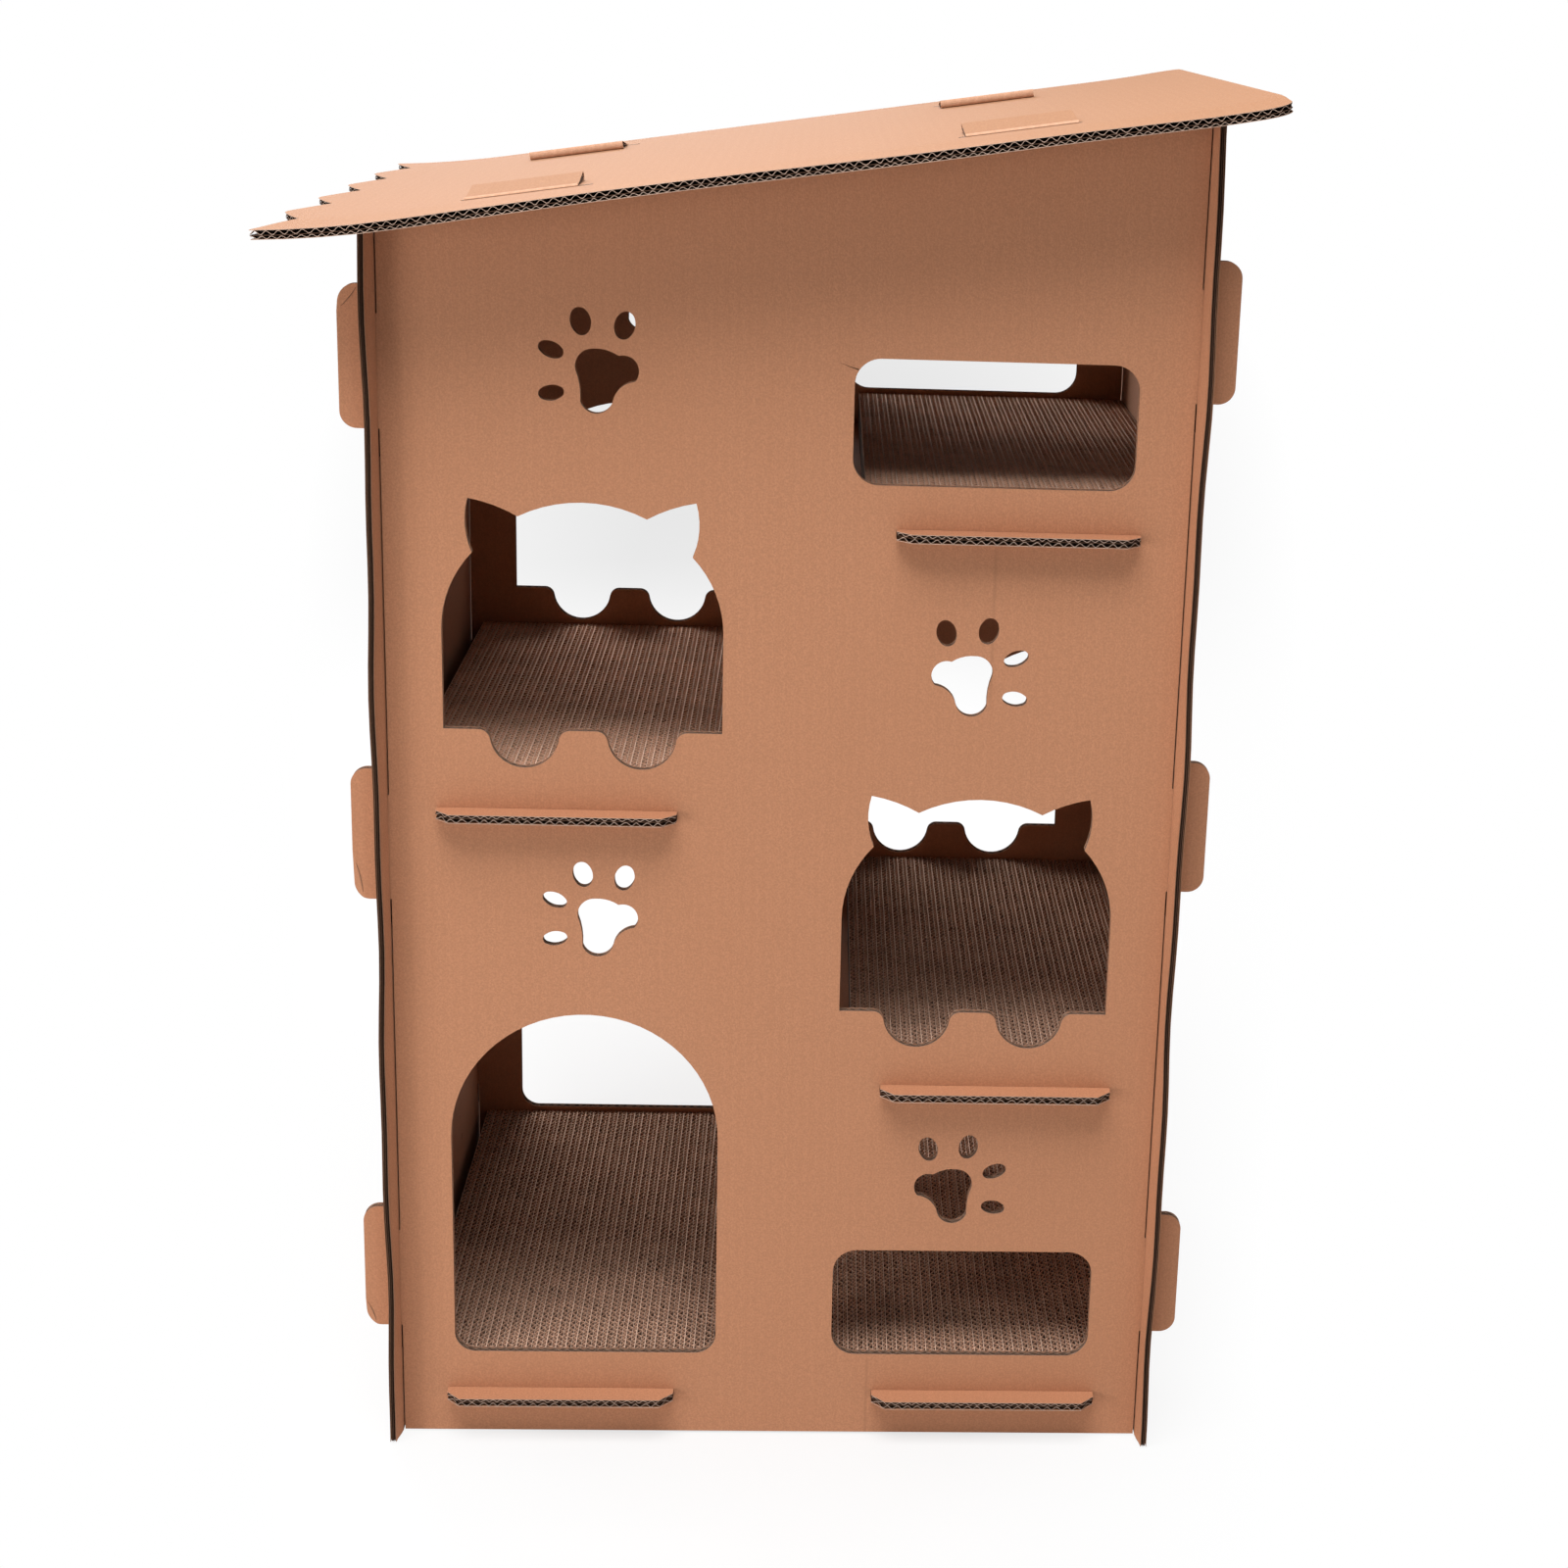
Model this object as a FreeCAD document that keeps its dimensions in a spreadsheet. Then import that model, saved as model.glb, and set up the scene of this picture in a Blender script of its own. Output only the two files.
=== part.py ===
import FreeCAD, Part
import math
import os
from types import SimpleNamespace

import Sketcher

# Cardboard cat house. Two slotted walls stand between two side panels and carry a
# ground floor and three platforms, which climb left and right like a stair. The
# doorways, cat-face windows and paw holes are the same in the front and back wall.
# A sloping roof drops over four wall tabs, whose ends fold down on top of it.
# The origin is in the middle of the front wall's lower edge, on the ground. X runs to
# the right as seen from the front, Y to the back and Z up, all in millimetres.

SIZES = {
    # The board that every panel is cut from, and the play where pieces meet
    "board": 6.5,
    "overrun": 5,
    "slot_clearance": 0.5,
    "slot_end_gap": 2.5,
    "tab_play": 1.0,
    # Walls
    "house_width": 570,
    "house_depth": 457.5,
    "roof_rise": 88.9,
    "jamb": 39.8,
    "pillar": 89.6,
    # Side panels
    "side_gap": 1.0,
    "side_reach": 19,
    "roof_seat_gap": 0.3,
    # Hooks on the walls' edges, which the side panels hang on
    "hook_neck": 80,
    "hook_rise": 20,
    "hook_reach": 27.5,
    "hook_radius": 12,
    "hook_foot": 90.5,
    "left_hook_drop": 142.3,
    "right_hook_drop": 198.2,
    # Levels: the ground floor's top, the step to the first platform, the two steps
    # above it, and the room from the last platform up to the walls' low corner
    "ground_level": 37,
    "first_step": 259,
    "level_step": 213.9,
    "top_room": 204.5,
    # Platforms and the tabs that pass through the walls
    "stair_gap": 86,
    "tab_width": 174,
    "tab_reach": 18,
    "tab_chamfer": 10.5,
    # Doorways, which all start one sill above their level
    "sill": 31.3,
    "arch_height": 281,
    "arch_radius": 16,
    "window_height": 89.5,
    "window_radius": 18.5,
    "face_height": 197.5,
    "scallop_offset": 42.2,
    "scallop_radius": 25,
    "scallop_depth": 28.3,
    "scallop_spread": 33,
    # Paw holes
    "paw_size": 60,
    "paw_offset": 17.8,
    # Roof
    "roof_overhang": 77,
    "low_overhang": 68,
    "high_overhang": 46,
    "low_curl_length": 90,
    "low_curl_rise": 5,
    "high_curl_length": 75,
    "high_curl_rise": 2.5,
    "notch_depth": 21,
    "tip_width": 5,
    "tip_bulge": 1.5,
    "roof_corner_radius": 25,
    # Roof flaps, the folded ends of the wall tabs
    "low_flap_place": 101.7,
    "high_flap_inset": 130.6,
    "flap_width": 78,
    "flap_length": 46,
    "crease_thickness": 0.8,
    "hinge_gap": 0.3,
    "low_slot_tail": 10,
    "high_slot_tail": 5,
    # Scratch pads
    "pad_thickness": 28,
    "pad_margin": 12,
    "pad_gap": 1.0,
    "strip_pitch": 16,
    "strip_groove": 1.2,
    "ground_left_pad_inset": 8,
    "ground_right_pad_inset": 12,
    "upper_left_pad_inset": 11,
    "middle_right_pad_inset": 0.3,
    "top_right_pad_inset": 0.3,
}
NOTCHES = 5

# Half of the cat face above its flank, from the ear's tip outwards, as shares of
# the face's half width and of its height
EAR_TIP_SHARES = (0.801, 1.0)
EAR_INNER_SHARES = (0.637, 0.979)
EAR_ROOT_SHARES = (0.4535, 0.937)
HEAD_TOP_SHARES = (0, 0.9925)
EAR_OUTER_SHARES = (0.822, 0.899)
EAR_FOOT_SHARES = (0.777, 0.8015)
FLANK_SHARES = (0.942, 0.670)
SHOULDER_SHARES = (1.0, 0.5165)

# The paw's pad as shares of the paw's size about its middle: each row is a stretch
# given by the point that it passes through and the point where it ends
PAW_PAD_SHARES = [
    ((-0.357, 0.247), (-0.158, 0.375)),
    ((0.012, 0.355), (0.128, 0.298)),
    ((0.343, 0.210), (0.320, 0.002)),
    ((0.140, -0.085), (0.058, -0.245)),
    ((-0.120, -0.380), (-0.315, -0.243)),
    ((-0.322, -0.060), (-0.370, 0.130)),
]
# Toes: middle, half length and half breadth as shares of the paw's size, and the
# angle of the long way in degrees
PAW_TOE_SHARES = [
    ((-0.308, 0.687), 0.163, 0.121, 102),
    ((0.200, 0.650), 0.163, 0.121, 76),
    ((-0.650, 0.353), 0.153, 0.095, -22),
    ((-0.650, -0.150), 0.150, 0.093, 8),
]

# Where each paw stands between the opening below it and what is above
ARCH_PAW_SHARE = 0.451
WINDOW_PAW_SHARE = 0.354
MIDDLE_PAW_SHARE = 0.440
UPPER_PAW_SHARE = 0.396

doc = FreeCAD.newDocument("cat_house")
sheet = doc.addObject("Spreadsheet::Sheet", "Sizes")
for row, (alias, number) in enumerate(SIZES.items(), start=1):
    sheet.set(f"A{row}", alias)
    sheet.set(f"B{row}", str(number))
    sheet.setAlias(f"B{row}", alias)
doc.recompute()


class Size:
    """A number with the expression that works it out from the sheet."""

    def __init__(self, value, text):
        self.value = value
        self.text = text

    def __add__(self, other):
        other = as_size(other)
        return Size(self.value + other.value, f"({self.text} + {other.text})")

    def __sub__(self, other):
        other = as_size(other)
        return Size(self.value - other.value, f"({self.text} - {other.text})")

    def __mul__(self, other):
        other = as_size(other)
        return Size(self.value * other.value, f"({self.text} * {other.text})")

    def __truediv__(self, other):
        other = as_size(other)
        return Size(self.value / other.value, f"({self.text} / {other.text})")

    def __neg__(self):
        return self * -1


def as_size(number):
    if isinstance(number, Size):
        return number
    return Size(float(number), f"({float(number)!r})")


def root(size):
    return Size(math.sqrt(size.value), f"sqrt({size.text})")


s = SimpleNamespace(**{
    alias: Size(float(sheet.get(alias)), f"Sizes.{alias}") for alias in SIZES
})

# Places that several pieces share
half_width = s.house_width / 2
inner_depth = s.house_depth - s.board * 2
half_inner_depth = inner_depth / 2
half_depth = s.house_depth / 2
house_middle = half_depth - s.board / 2
side_face = half_width + s.side_gap
platform_width = half_width - s.stair_gap / 2
tab_offset = (half_width + s.stair_gap / 2) / 2
pad_width = platform_width - s.pad_margin
door_width = half_width - s.jamb - s.pillar / 2
door_offset = (half_width - s.jamb + s.pillar / 2) / 2
middle_level = s.ground_level + s.first_step
upper_level = middle_level + s.level_step
top_level = upper_level + s.level_step
low_height = top_level + s.top_room
high_height = low_height + s.roof_rise
slope = s.roof_rise / s.house_width
slope_length = root(s.house_width * s.house_width + s.roof_rise * s.roof_rise)
slope_cos = s.house_width / slope_length
slope_sin = s.roof_rise / slope_length
high_flap_place = slope_length - s.high_flap_inset
flap_places = [s.low_flap_place, high_flap_place]


def hooks_up_to(high):
    """The feet of an edge's three hooks: the middle one stands halfway."""
    return [s.hook_foot, (s.hook_foot + high) / 2, high]


left_hooks = hooks_up_to(low_height - s.left_hook_drop)
right_hooks = hooks_up_to(high_height - s.right_hook_drop)


def on_slope(along, above):
    """A point of the wall plane, given along and square to the roof's underside."""
    return (
        along * slope_cos - above * slope_sin - half_width,
        along * slope_sin + above * slope_cos + low_height,
    )


# Sketching

def flat(point):
    return FreeCAD.Vector(as_size(point[0]).value, as_size(point[1]).value, 0)


def hold(number, vertex, point):
    """Rules that hold a vertex at its two distances from the sketch's origin."""
    rules = []
    for kind, size in zip(("DistanceX", "DistanceY"), point):
        size = as_size(size)
        rule = Sketcher.Constraint(kind, -1, 1, number, vertex, size.value)
        rules.append((rule, size.text))
    return rules


def apply(sketch, rules):
    """Adds rules, and binds each that has an expression."""
    numbers = sketch.addConstraint([rule for rule, text in rules])
    for number, (rule, text) in zip(numbers, rules):
        if text:
            sketch.setExpression(f"Constraints[{number}]", text)


def draw(sketch, path):
    """Draws a closed path. A step is (end,) when straight and (through, end) when round."""
    curves = []
    for i, step in enumerate(path):
        start = flat(path[i - 1][-1])
        end = flat(step[-1])
        if len(step) == 2:
            curves.append(Part.Arc(start, flat(step[0]), end))
        else:
            curves.append(Part.LineSegment(start, end))
    numbers = sketch.addGeometry(curves, False)
    ends = []
    for number, step in zip(numbers, path):
        gap = sketch.getPoint(number, 2).distanceToPoint(flat(step[-1]))
        other = sketch.getPoint(number, 1).distanceToPoint(flat(step[-1]))
        ends.append(2 if gap < other else 1)
    rules = []
    for i, step in enumerate(path):
        first = 3 - ends[i]
        meet = Sketcher.Constraint("Coincident", numbers[i - 1], ends[i - 1], numbers[i], first)
        rules.append((meet, ""))
        rules += hold(numbers[i], ends[i], step[-1])
        if len(step) == 2:
            dot = sketch.addGeometry(Part.Point(flat(step[0])), True)
            rules += hold(dot, 1, step[0])
            rules.append((Sketcher.Constraint("PointOnObject", dot, 1, numbers[i]), ""))
    apply(sketch, rules)


def oval_path(middle, half_length, half_breadth, angle):
    """An oval of four arcs, which meet halfway between its long and short ends."""
    turned = math.radians(angle)

    def at(degrees):
        along = math.cos(math.radians(degrees))
        across = math.sin(math.radians(degrees))
        x = half_length * along * math.cos(turned) - half_breadth * across * math.sin(turned)
        y = half_length * along * math.sin(turned) + half_breadth * across * math.cos(turned)
        return middle[0] + x, middle[1] + y

    return [(at(degrees), at(degrees + 45)) for degrees in (0, 90, 180, 270)]


def rounded(corners):
    """Turns corners (x, y, radius or None), joined by edges along x or y, into a path."""
    path = []
    eighth = 1 - math.sqrt(0.5)
    for i, (x, y, radius) in enumerate(corners):
        if radius is None:
            path.append(((x, y),))
            continue
        before = corners[i - 1]
        after = corners[(i + 1) % len(corners)]
        here = flat((x, y))
        come = (flat(before) - here).normalize()
        leave = (flat(after) - here).normalize()
        start = (x + radius * come.x, y + radius * come.y)
        end = (x + radius * leave.x, y + radius * leave.y)
        both = come + leave
        through = (x + radius * eighth * both.x, y + radius * eighth * both.y)
        path.append((start,))
        path.append((through, end))
    return path


def box_path(low_x, high_x, low_y, high_y, radius=None):
    return rounded([
        (low_x, low_y, radius), (high_x, low_y, radius),
        (high_x, high_y, radius), (low_x, high_y, radius),
    ])


def about(middle, width):
    return middle - width / 2, middle + width / 2


def between(low, high, share):
    return low + (high - low) * share


# Bodies

def new_body(name):
    body = doc.addObject("PartDesign::Body", name)
    body.Label = name
    return body


def new_sketch(body, name, role):
    sketch = body.newObject("Sketcher::SketchObject", f"{body.Name}_{name}")
    plane = next(item for item in body.Origin.OriginFeatures if item.Role == role)
    sketch.AttachmentSupport = [(plane, "")]
    sketch.MapMode = "FlatFace"
    return sketch


def extrude(body, kind, sketch, length):
    """Pads or pockets a sketch to both sides of its plane and checks what it did."""
    before = body.Tip.Shape.Volume if body.Tip else 0
    feature = body.newObject(f"PartDesign::{kind}", f"{sketch.Name}_{kind}")
    feature.Profile = sketch
    feature.SideType = "Symmetric"
    feature.setExpression("Length", length.text)
    doc.recompute()
    after = feature.Shape.Volume
    if (after <= before) if kind == "Pad" else (after >= before):
        raise RuntimeError(f"{feature.Name} did nothing")
    return feature


def place(body, x=None, y=None, z=None):
    for axis, size in (("x", x), ("y", y), ("z", z)):
        if size is not None:
            body.setExpression(f"Placement.Base.{axis}", size.text)


def tilt(body):
    """Turns a body so that its own X runs up the roof's slope."""
    turned = FreeCAD.Rotation(FreeCAD.Vector(0, -1, 0), 1)
    body.Placement = FreeCAD.Placement(FreeCAD.Vector(), turned)
    body.setExpression("Placement.Rotation.Angle", f"atan({slope.text})")


# Walls

def wall_outline():
    """The wall without its hooks: a sloping top with the two roof tabs standing on it."""
    zero = as_size(0)
    path = [((-half_width, zero),), ((half_width, zero),), (on_slope(slope_length, zero),)]
    for along in reversed(flap_places):
        start, end = about(along, s.flap_width)
        for reach, above in ((end, zero), (end, s.board), (start, s.board), (start, zero)):
            path.append((on_slope(reach, above),))
    path.append((on_slope(zero, zero),))
    return path


def hook_path(side, bottom):
    """A hook on the wall's right (side 1) or left (side -1) edge, rooted in the wall."""
    base = (half_width - s.board) * side
    neck = (side_face + s.board + s.slot_clearance) * side
    tip = (half_width + s.hook_reach) * side
    top = bottom + s.hook_neck
    return rounded([
        (base, bottom, None), (tip, bottom, s.hook_radius),
        (tip, top + s.hook_rise, s.hook_radius), (neck, top + s.hook_rise, None),
        (neck, top, None), (base, top, None),
    ])


def arch_path(middle, bottom):
    """A doorway with rounded lower corners and a half-round top."""
    low_x, high_x = about(middle, door_width)
    springing = bottom + s.arch_height - door_width / 2
    path = rounded([
        (high_x, springing, None), (low_x, springing, None),
        (low_x, bottom, s.arch_radius), (high_x, bottom, s.arch_radius),
    ])
    path[1] = ((middle, bottom + s.arch_height), (low_x, springing))
    return path


def window_path(middle, bottom):
    low_x, high_x = about(middle, door_width)
    return box_path(low_x, high_x, bottom, bottom + s.window_height, s.window_radius)


def face_path(middle, bottom):
    """A cat's face: ears and a domed head over two scallops like resting paws."""
    half = door_width / 2
    flat_z = bottom + s.scallop_depth
    # The tooth's round beside a scallop, and where the two rounds meet
    spread = s.scallop_spread
    depth = s.scallop_depth
    tooth = (spread * spread + depth * depth - s.scallop_radius * depth * 2) / (depth * 2)
    share = s.scallop_radius / (s.scallop_radius + tooth)
    meet_x = spread * share
    meet_z = s.scallop_radius + (depth - tooth - s.scallop_radius) * share
    # The tooth's round passes its own steepest eighth on the way
    lean_x = spread - meet_x
    lean_z = meet_z - depth + tooth
    half_x = lean_x / 2
    half_z = (lean_z + tooth) / 2
    reach = root(half_x * half_x + half_z * half_z)
    pass_x = spread - half_x * tooth / reach
    pass_z = depth - tooth + half_z * tooth / reach

    def at(shares, side):
        return (middle + half * (shares[0] * side), bottom + s.face_height * shares[1])

    path = [((middle - half, flat_z),)]
    for centre in (middle - s.scallop_offset, middle + s.scallop_offset):
        path += [
            ((centre - spread, flat_z),),
            ((centre - pass_x, bottom + pass_z), (centre - meet_x, bottom + meet_z)),
            ((centre, bottom), (centre + meet_x, bottom + meet_z)),
            ((centre + pass_x, bottom + pass_z), (centre + spread, flat_z)),
        ]
    path += [
        ((middle + half, flat_z),),
        (at(SHOULDER_SHARES, 1),),
        (at(FLANK_SHARES, 1), at(EAR_FOOT_SHARES, 1)),
        (at(EAR_OUTER_SHARES, 1), at(EAR_TIP_SHARES, 1)),
        (at(EAR_INNER_SHARES, 1), at(EAR_ROOT_SHARES, 1)),
        (at(HEAD_TOP_SHARES, 1), at(EAR_ROOT_SHARES, -1)),
        (at(EAR_INNER_SHARES, -1), at(EAR_TIP_SHARES, -1)),
        (at(EAR_OUTER_SHARES, -1), at(EAR_FOOT_SHARES, -1)),
        (at(FLANK_SHARES, -1), at(SHOULDER_SHARES, -1)),
    ]
    return path


def draw_paw(sketch, side, height):
    """A paw print beside a column's middle line, mirrored in the right column."""
    middle_x = (door_offset - s.paw_offset) * side

    def at(shares):
        return [middle_x + s.paw_size * (-side * shares[0]), height + s.paw_size * shares[1]]

    draw(sketch, [(at(through), at(end)) for through, end in PAW_PAD_SHARES])
    for middle, half_length, half_breadth, angle in PAW_TOE_SHARES:
        turned = angle if side < 0 else 180 - angle
        draw(sketch, oval_path(at(middle), s.paw_size * half_length,
                               s.paw_size * half_breadth, turned))


def tab_slot(middle, level):
    """The slot for a floor tab, which rests on its lower edge."""
    low_x, high_x = about(middle, s.tab_width + s.slot_end_gap * 2)
    return box_path(low_x, high_x, level - s.board, level + s.tab_play)


def wall_panel(name, y_middle):
    body = new_body(name)
    sketch = new_sketch(body, "outline", "XZ_Plane")
    draw(sketch, wall_outline())
    extrude(body, "Pad", sketch, s.board)
    for name, side, hooks in (("left", -1, left_hooks), ("right", 1, right_hooks)):
        sketch = new_sketch(body, f"{name}_hooks", "XZ_Plane")
        for bottom in hooks:
            draw(sketch, hook_path(side, bottom))
        extrude(body, "Pad", sketch, s.board)
    ground_sill = s.ground_level + s.sill
    doors = {
        "arch": arch_path(-door_offset, ground_sill),
        "ground_window": window_path(door_offset, ground_sill),
        "middle_face": face_path(door_offset, middle_level + s.sill),
        "upper_face": face_path(-door_offset, upper_level + s.sill),
        "top_window": window_path(door_offset, top_level + s.sill),
    }
    through = s.board + s.overrun * 2
    for opening, path in doors.items():
        sketch = new_sketch(body, opening, "XZ_Plane")
        draw(sketch, path)
        extrude(body, "Pocket", sketch, through)
    eaves = low_height + (half_width - door_offset + s.paw_offset) * slope
    paws = {
        "window_paw": (1, between(ground_sill + s.window_height,
                                  middle_level - s.board, WINDOW_PAW_SHARE)),
        "arch_paw": (-1, between(ground_sill + s.arch_height,
                                 upper_level - s.board, ARCH_PAW_SHARE)),
        "middle_paw": (1, between(middle_level + s.sill + s.face_height,
                                  top_level - s.board, MIDDLE_PAW_SHARE)),
        "upper_paw": (-1, between(upper_level + s.sill + s.face_height,
                                  eaves, UPPER_PAW_SHARE)),
    }
    for paw, (side, height) in paws.items():
        sketch = new_sketch(body, paw, "XZ_Plane")
        draw_paw(sketch, side, height)
        extrude(body, "Pocket", sketch, through)
    sketch = new_sketch(body, "tab_slots", "XZ_Plane")
    for side, level in (
        (-1, s.ground_level), (1, s.ground_level), (1, middle_level),
        (-1, upper_level), (1, top_level),
    ):
        draw(sketch, tab_slot(tab_offset * side, level))
    extrude(body, "Pocket", sketch, through)
    place(body, y=y_middle)
    return body


def second_wall(name, first, y_middle):
    """A wall of the same cut as the first, at its own place."""
    body = new_body(name)
    cut = doc.addObject("PartDesign::FeatureBase", f"{name}_cut")
    body.Group = [cut]
    cut.BaseFeature = first
    body.Tip = cut
    place(body, y=y_middle)
    return body


# Side panels

def side_panel(name, side, height, hooks):
    """A plain panel that drops over the hooks of both walls."""
    body = new_body(name)
    reach = half_depth + s.side_reach
    sketch = new_sketch(body, "outline", "YZ_Plane")
    draw(sketch, box_path(-reach, reach, as_size(0), height))
    extrude(body, "Pad", sketch, s.board)
    sketch = new_sketch(body, "hook_slots", "YZ_Plane")
    for wall in (-1, 1):
        middle = house_middle * wall
        low_y, high_y = about(middle, s.board + s.slot_clearance * 2)
        for bottom in hooks:
            low_z = bottom - s.hook_rise - s.slot_clearance
            high_z = bottom + s.hook_neck + s.slot_clearance
            draw(sketch, box_path(low_y, high_y, low_z, high_z))
    extrude(body, "Pocket", sketch, s.board + s.overrun * 2)
    place(body, x=(side_face + s.board / 2) * side, y=house_middle)
    return body


# Floors

def floor_board(name, low_x, high_x, tab_middles, level):
    """A floor between the walls, with tabs that pass through both of them."""
    body = new_body(name)
    tip_y = half_depth + s.tab_reach

    def edge(side):
        steps = []
        for middle in tab_middles if side < 0 else reversed(tab_middles):
            near, far = about(middle, s.tab_width)
            first, last = (near, far) if side < 0 else (far, near)
            inward = s.tab_chamfer * -side
            steps += [
                ((first, half_inner_depth * side),),
                ((first, (tip_y - s.tab_chamfer) * side),),
                ((first + inward, tip_y * side),),
                ((last - inward, tip_y * side),),
                ((last, (tip_y - s.tab_chamfer) * side),),
                ((last, half_inner_depth * side),),
            ]
        return steps

    path = [((low_x, -half_inner_depth),)] + edge(-1) + [((high_x, -half_inner_depth),)]
    path += [((high_x, half_inner_depth),)] + edge(1) + [((low_x, half_inner_depth),)]
    sketch = new_sketch(body, "outline", "XY_Plane")
    draw(sketch, path)
    extrude(body, "Pad", sketch, s.board)
    place(body, y=house_middle, z=level - s.board / 2)
    return body


# Roof

def curl(start, side, length, rise, above):
    """The through and end points of a stretch that curls up from the flat roof."""
    chord = root(length * length + rise * rise)
    bend = chord * chord / (rise * 2)
    radius = bend - above
    through = (start + radius * rise / chord * side, bend - radius * length / chord)
    end = (start + radius * length / bend * side, bend - radius * (bend - rise) / bend)
    return through, end


def roof_panel(name):
    """The roof in its own frame: X up the slope from the walls' low corner, Z square to it."""
    body = new_body(name)
    zero = as_size(0)
    low_end = -s.low_overhang
    high_end = slope_length + s.high_overhang
    low_start = low_end + s.low_curl_length
    high_start = high_end - s.high_curl_length
    roof_depth = s.house_depth + s.roof_overhang * 2
    high_under = curl(high_start, 1, s.high_curl_length, s.high_curl_rise, zero)
    high_over = curl(high_start, 1, s.high_curl_length, s.high_curl_rise, s.board)
    low_under = curl(low_start, -1, s.low_curl_length, s.low_curl_rise, zero)
    low_over = curl(low_start, -1, s.low_curl_length, s.low_curl_rise, s.board)
    sketch = new_sketch(body, "profile", "XZ_Plane")
    draw(sketch, [
        (low_under[0], (low_start, zero)),
        ((high_start, zero),),
        high_under,
        (high_over[1],),
        (high_over[0], (high_start, s.board)),
        ((low_start, s.board),),
        low_over,
        (low_under[1],),
    ])
    extrude(body, "Pad", sketch, roof_depth)

    # One notch of the zigzag edge, repeated to the back
    through = (s.board + s.low_curl_rise + s.overrun) * 2
    pitch = roof_depth / NOTCHES
    front = -roof_depth / 2
    mouth = (front + s.tip_width / 2, front + pitch - s.tip_width / 2)
    apex = (low_end + s.notch_depth, front + pitch / 2)
    flanks = [(low_end + s.notch_depth / 2 - s.tip_bulge, (y + apex[1]) / 2) for y in mouth]
    outside = low_end - s.overrun
    sketch = new_sketch(body, "notch", "XY_Plane")
    draw(sketch, [
        ((outside, mouth[0]),),
        ((low_end, mouth[0]),),
        (flanks[0], apex),
        (flanks[1], (low_end, mouth[1])),
        ((outside, mouth[1]),),
    ])
    notch = extrude(body, "Pocket", sketch, through)
    row = body.newObject("PartDesign::LinearPattern", f"{name}_zigzag")
    row.Originals = [notch]
    row.Direction = (sketch, ["V_Axis"])
    row.Occurrences = NOTCHES
    row.setExpression("Length", (roof_depth - pitch).text)
    body.Tip = row
    doc.recompute()
    if row.Shape.Volume >= notch.Shape.Volume:
        raise RuntimeError("the zigzag was not repeated")

    # Round corners at the high end
    sketch = new_sketch(body, "corners", "XY_Plane")
    radius = s.roof_corner_radius
    eighth = radius * (1 - math.sqrt(0.5))
    for side in (-1, 1):
        edge = roof_depth / 2 * side
        beyond = edge + s.overrun * side
        draw(sketch, [
            ((high_end - radius, edge),),
            ((high_end - eighth, edge - eighth * side), (high_end, edge - radius * side)),
            ((high_end + s.overrun, edge - radius * side),),
            ((high_end + s.overrun, beyond),),
            ((high_end - radius, beyond),),
        ])
    extrude(body, "Pocket", sketch, through)

    # Slots for the wall tabs, longer towards the middle of the roof
    sketch = new_sketch(body, "tab_slots", "XY_Plane")
    for side in (-1, 1):
        middle = house_middle * side
        low_y, high_y = about(middle, s.board + s.slot_clearance * 2)
        low_x, high_x = about(s.low_flap_place, s.flap_width)
        draw(sketch, box_path(low_x - s.slot_end_gap, high_x + s.low_slot_tail, low_y, high_y))
        low_x, high_x = about(high_flap_place, s.flap_width)
        draw(sketch, box_path(low_x - s.high_slot_tail, high_x + s.slot_end_gap, low_y, high_y))
    extrude(body, "Pocket", sketch, through)
    tilt(body)
    place(body, x=-half_width, y=house_middle, z=low_height)
    return body


def roof_flap(name, along, wall):
    """A folded tab end: flat underneath and crushed thin along its crease."""
    body = new_body(name)
    inward = -wall
    under = s.hinge_gap
    sketch = new_sketch(body, "profile", "YZ_Plane")
    draw(sketch, [
        ((s.hinge_gap * inward, under),),
        ((s.flap_length * inward, under),),
        ((s.flap_length * inward, under + s.board),),
        ((s.hinge_gap * inward, under + s.crease_thickness),),
    ])
    extrude(body, "Pad", sketch, s.flap_width)
    x, z = on_slope(along, s.board)
    tilt(body)
    place(body, x=x, y=house_middle + half_inner_depth * wall, z=z)
    return body


# Scratch pads

def scratch_pad(name, low_x, level):
    """A pad of corrugated strips on edge, with a groove between each pair and the next."""
    body = new_body(name)
    half_length = half_inner_depth - s.pad_gap
    sketch = new_sketch(body, "profile", "XZ_Plane")
    draw(sketch, box_path(as_size(0), pad_width, as_size(0), s.pad_thickness))
    extrude(body, "Pad", sketch, half_length * 2)
    strips = round(pad_width.value / s.strip_pitch.value)
    pitch = pad_width / strips
    depth = s.strip_groove
    top = s.pad_thickness
    sketch = new_sketch(body, "groove", "XZ_Plane")
    draw(sketch, [
        ((pitch - depth / 2, top),),
        ((pitch, top - depth),),
        ((pitch + depth / 2, top),),
        ((pitch, top + s.overrun),),
    ])
    groove = extrude(body, "Pocket", sketch, (half_length + s.overrun) * 2)
    row = body.newObject("PartDesign::LinearPattern", f"{name}_grooves")
    row.Originals = [groove]
    row.Direction = (sketch, ["H_Axis"])
    row.Occurrences = strips - 1
    row.setExpression("Length", (pitch * (strips - 2)).text)
    body.Tip = row
    doc.recompute()
    if row.Shape.Volume >= groove.Shape.Volume:
        raise RuntimeError(f"the grooves of {name} were not repeated")
    place(body, x=low_x, y=house_middle, z=level)
    return body


# The house

left_top = low_height - (s.side_gap + s.board) * slope - s.roof_seat_gap
right_top = high_height + s.side_gap * slope - s.roof_seat_gap
inner_edge = s.stair_gap / 2
right_pad = half_width - pad_width

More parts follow.
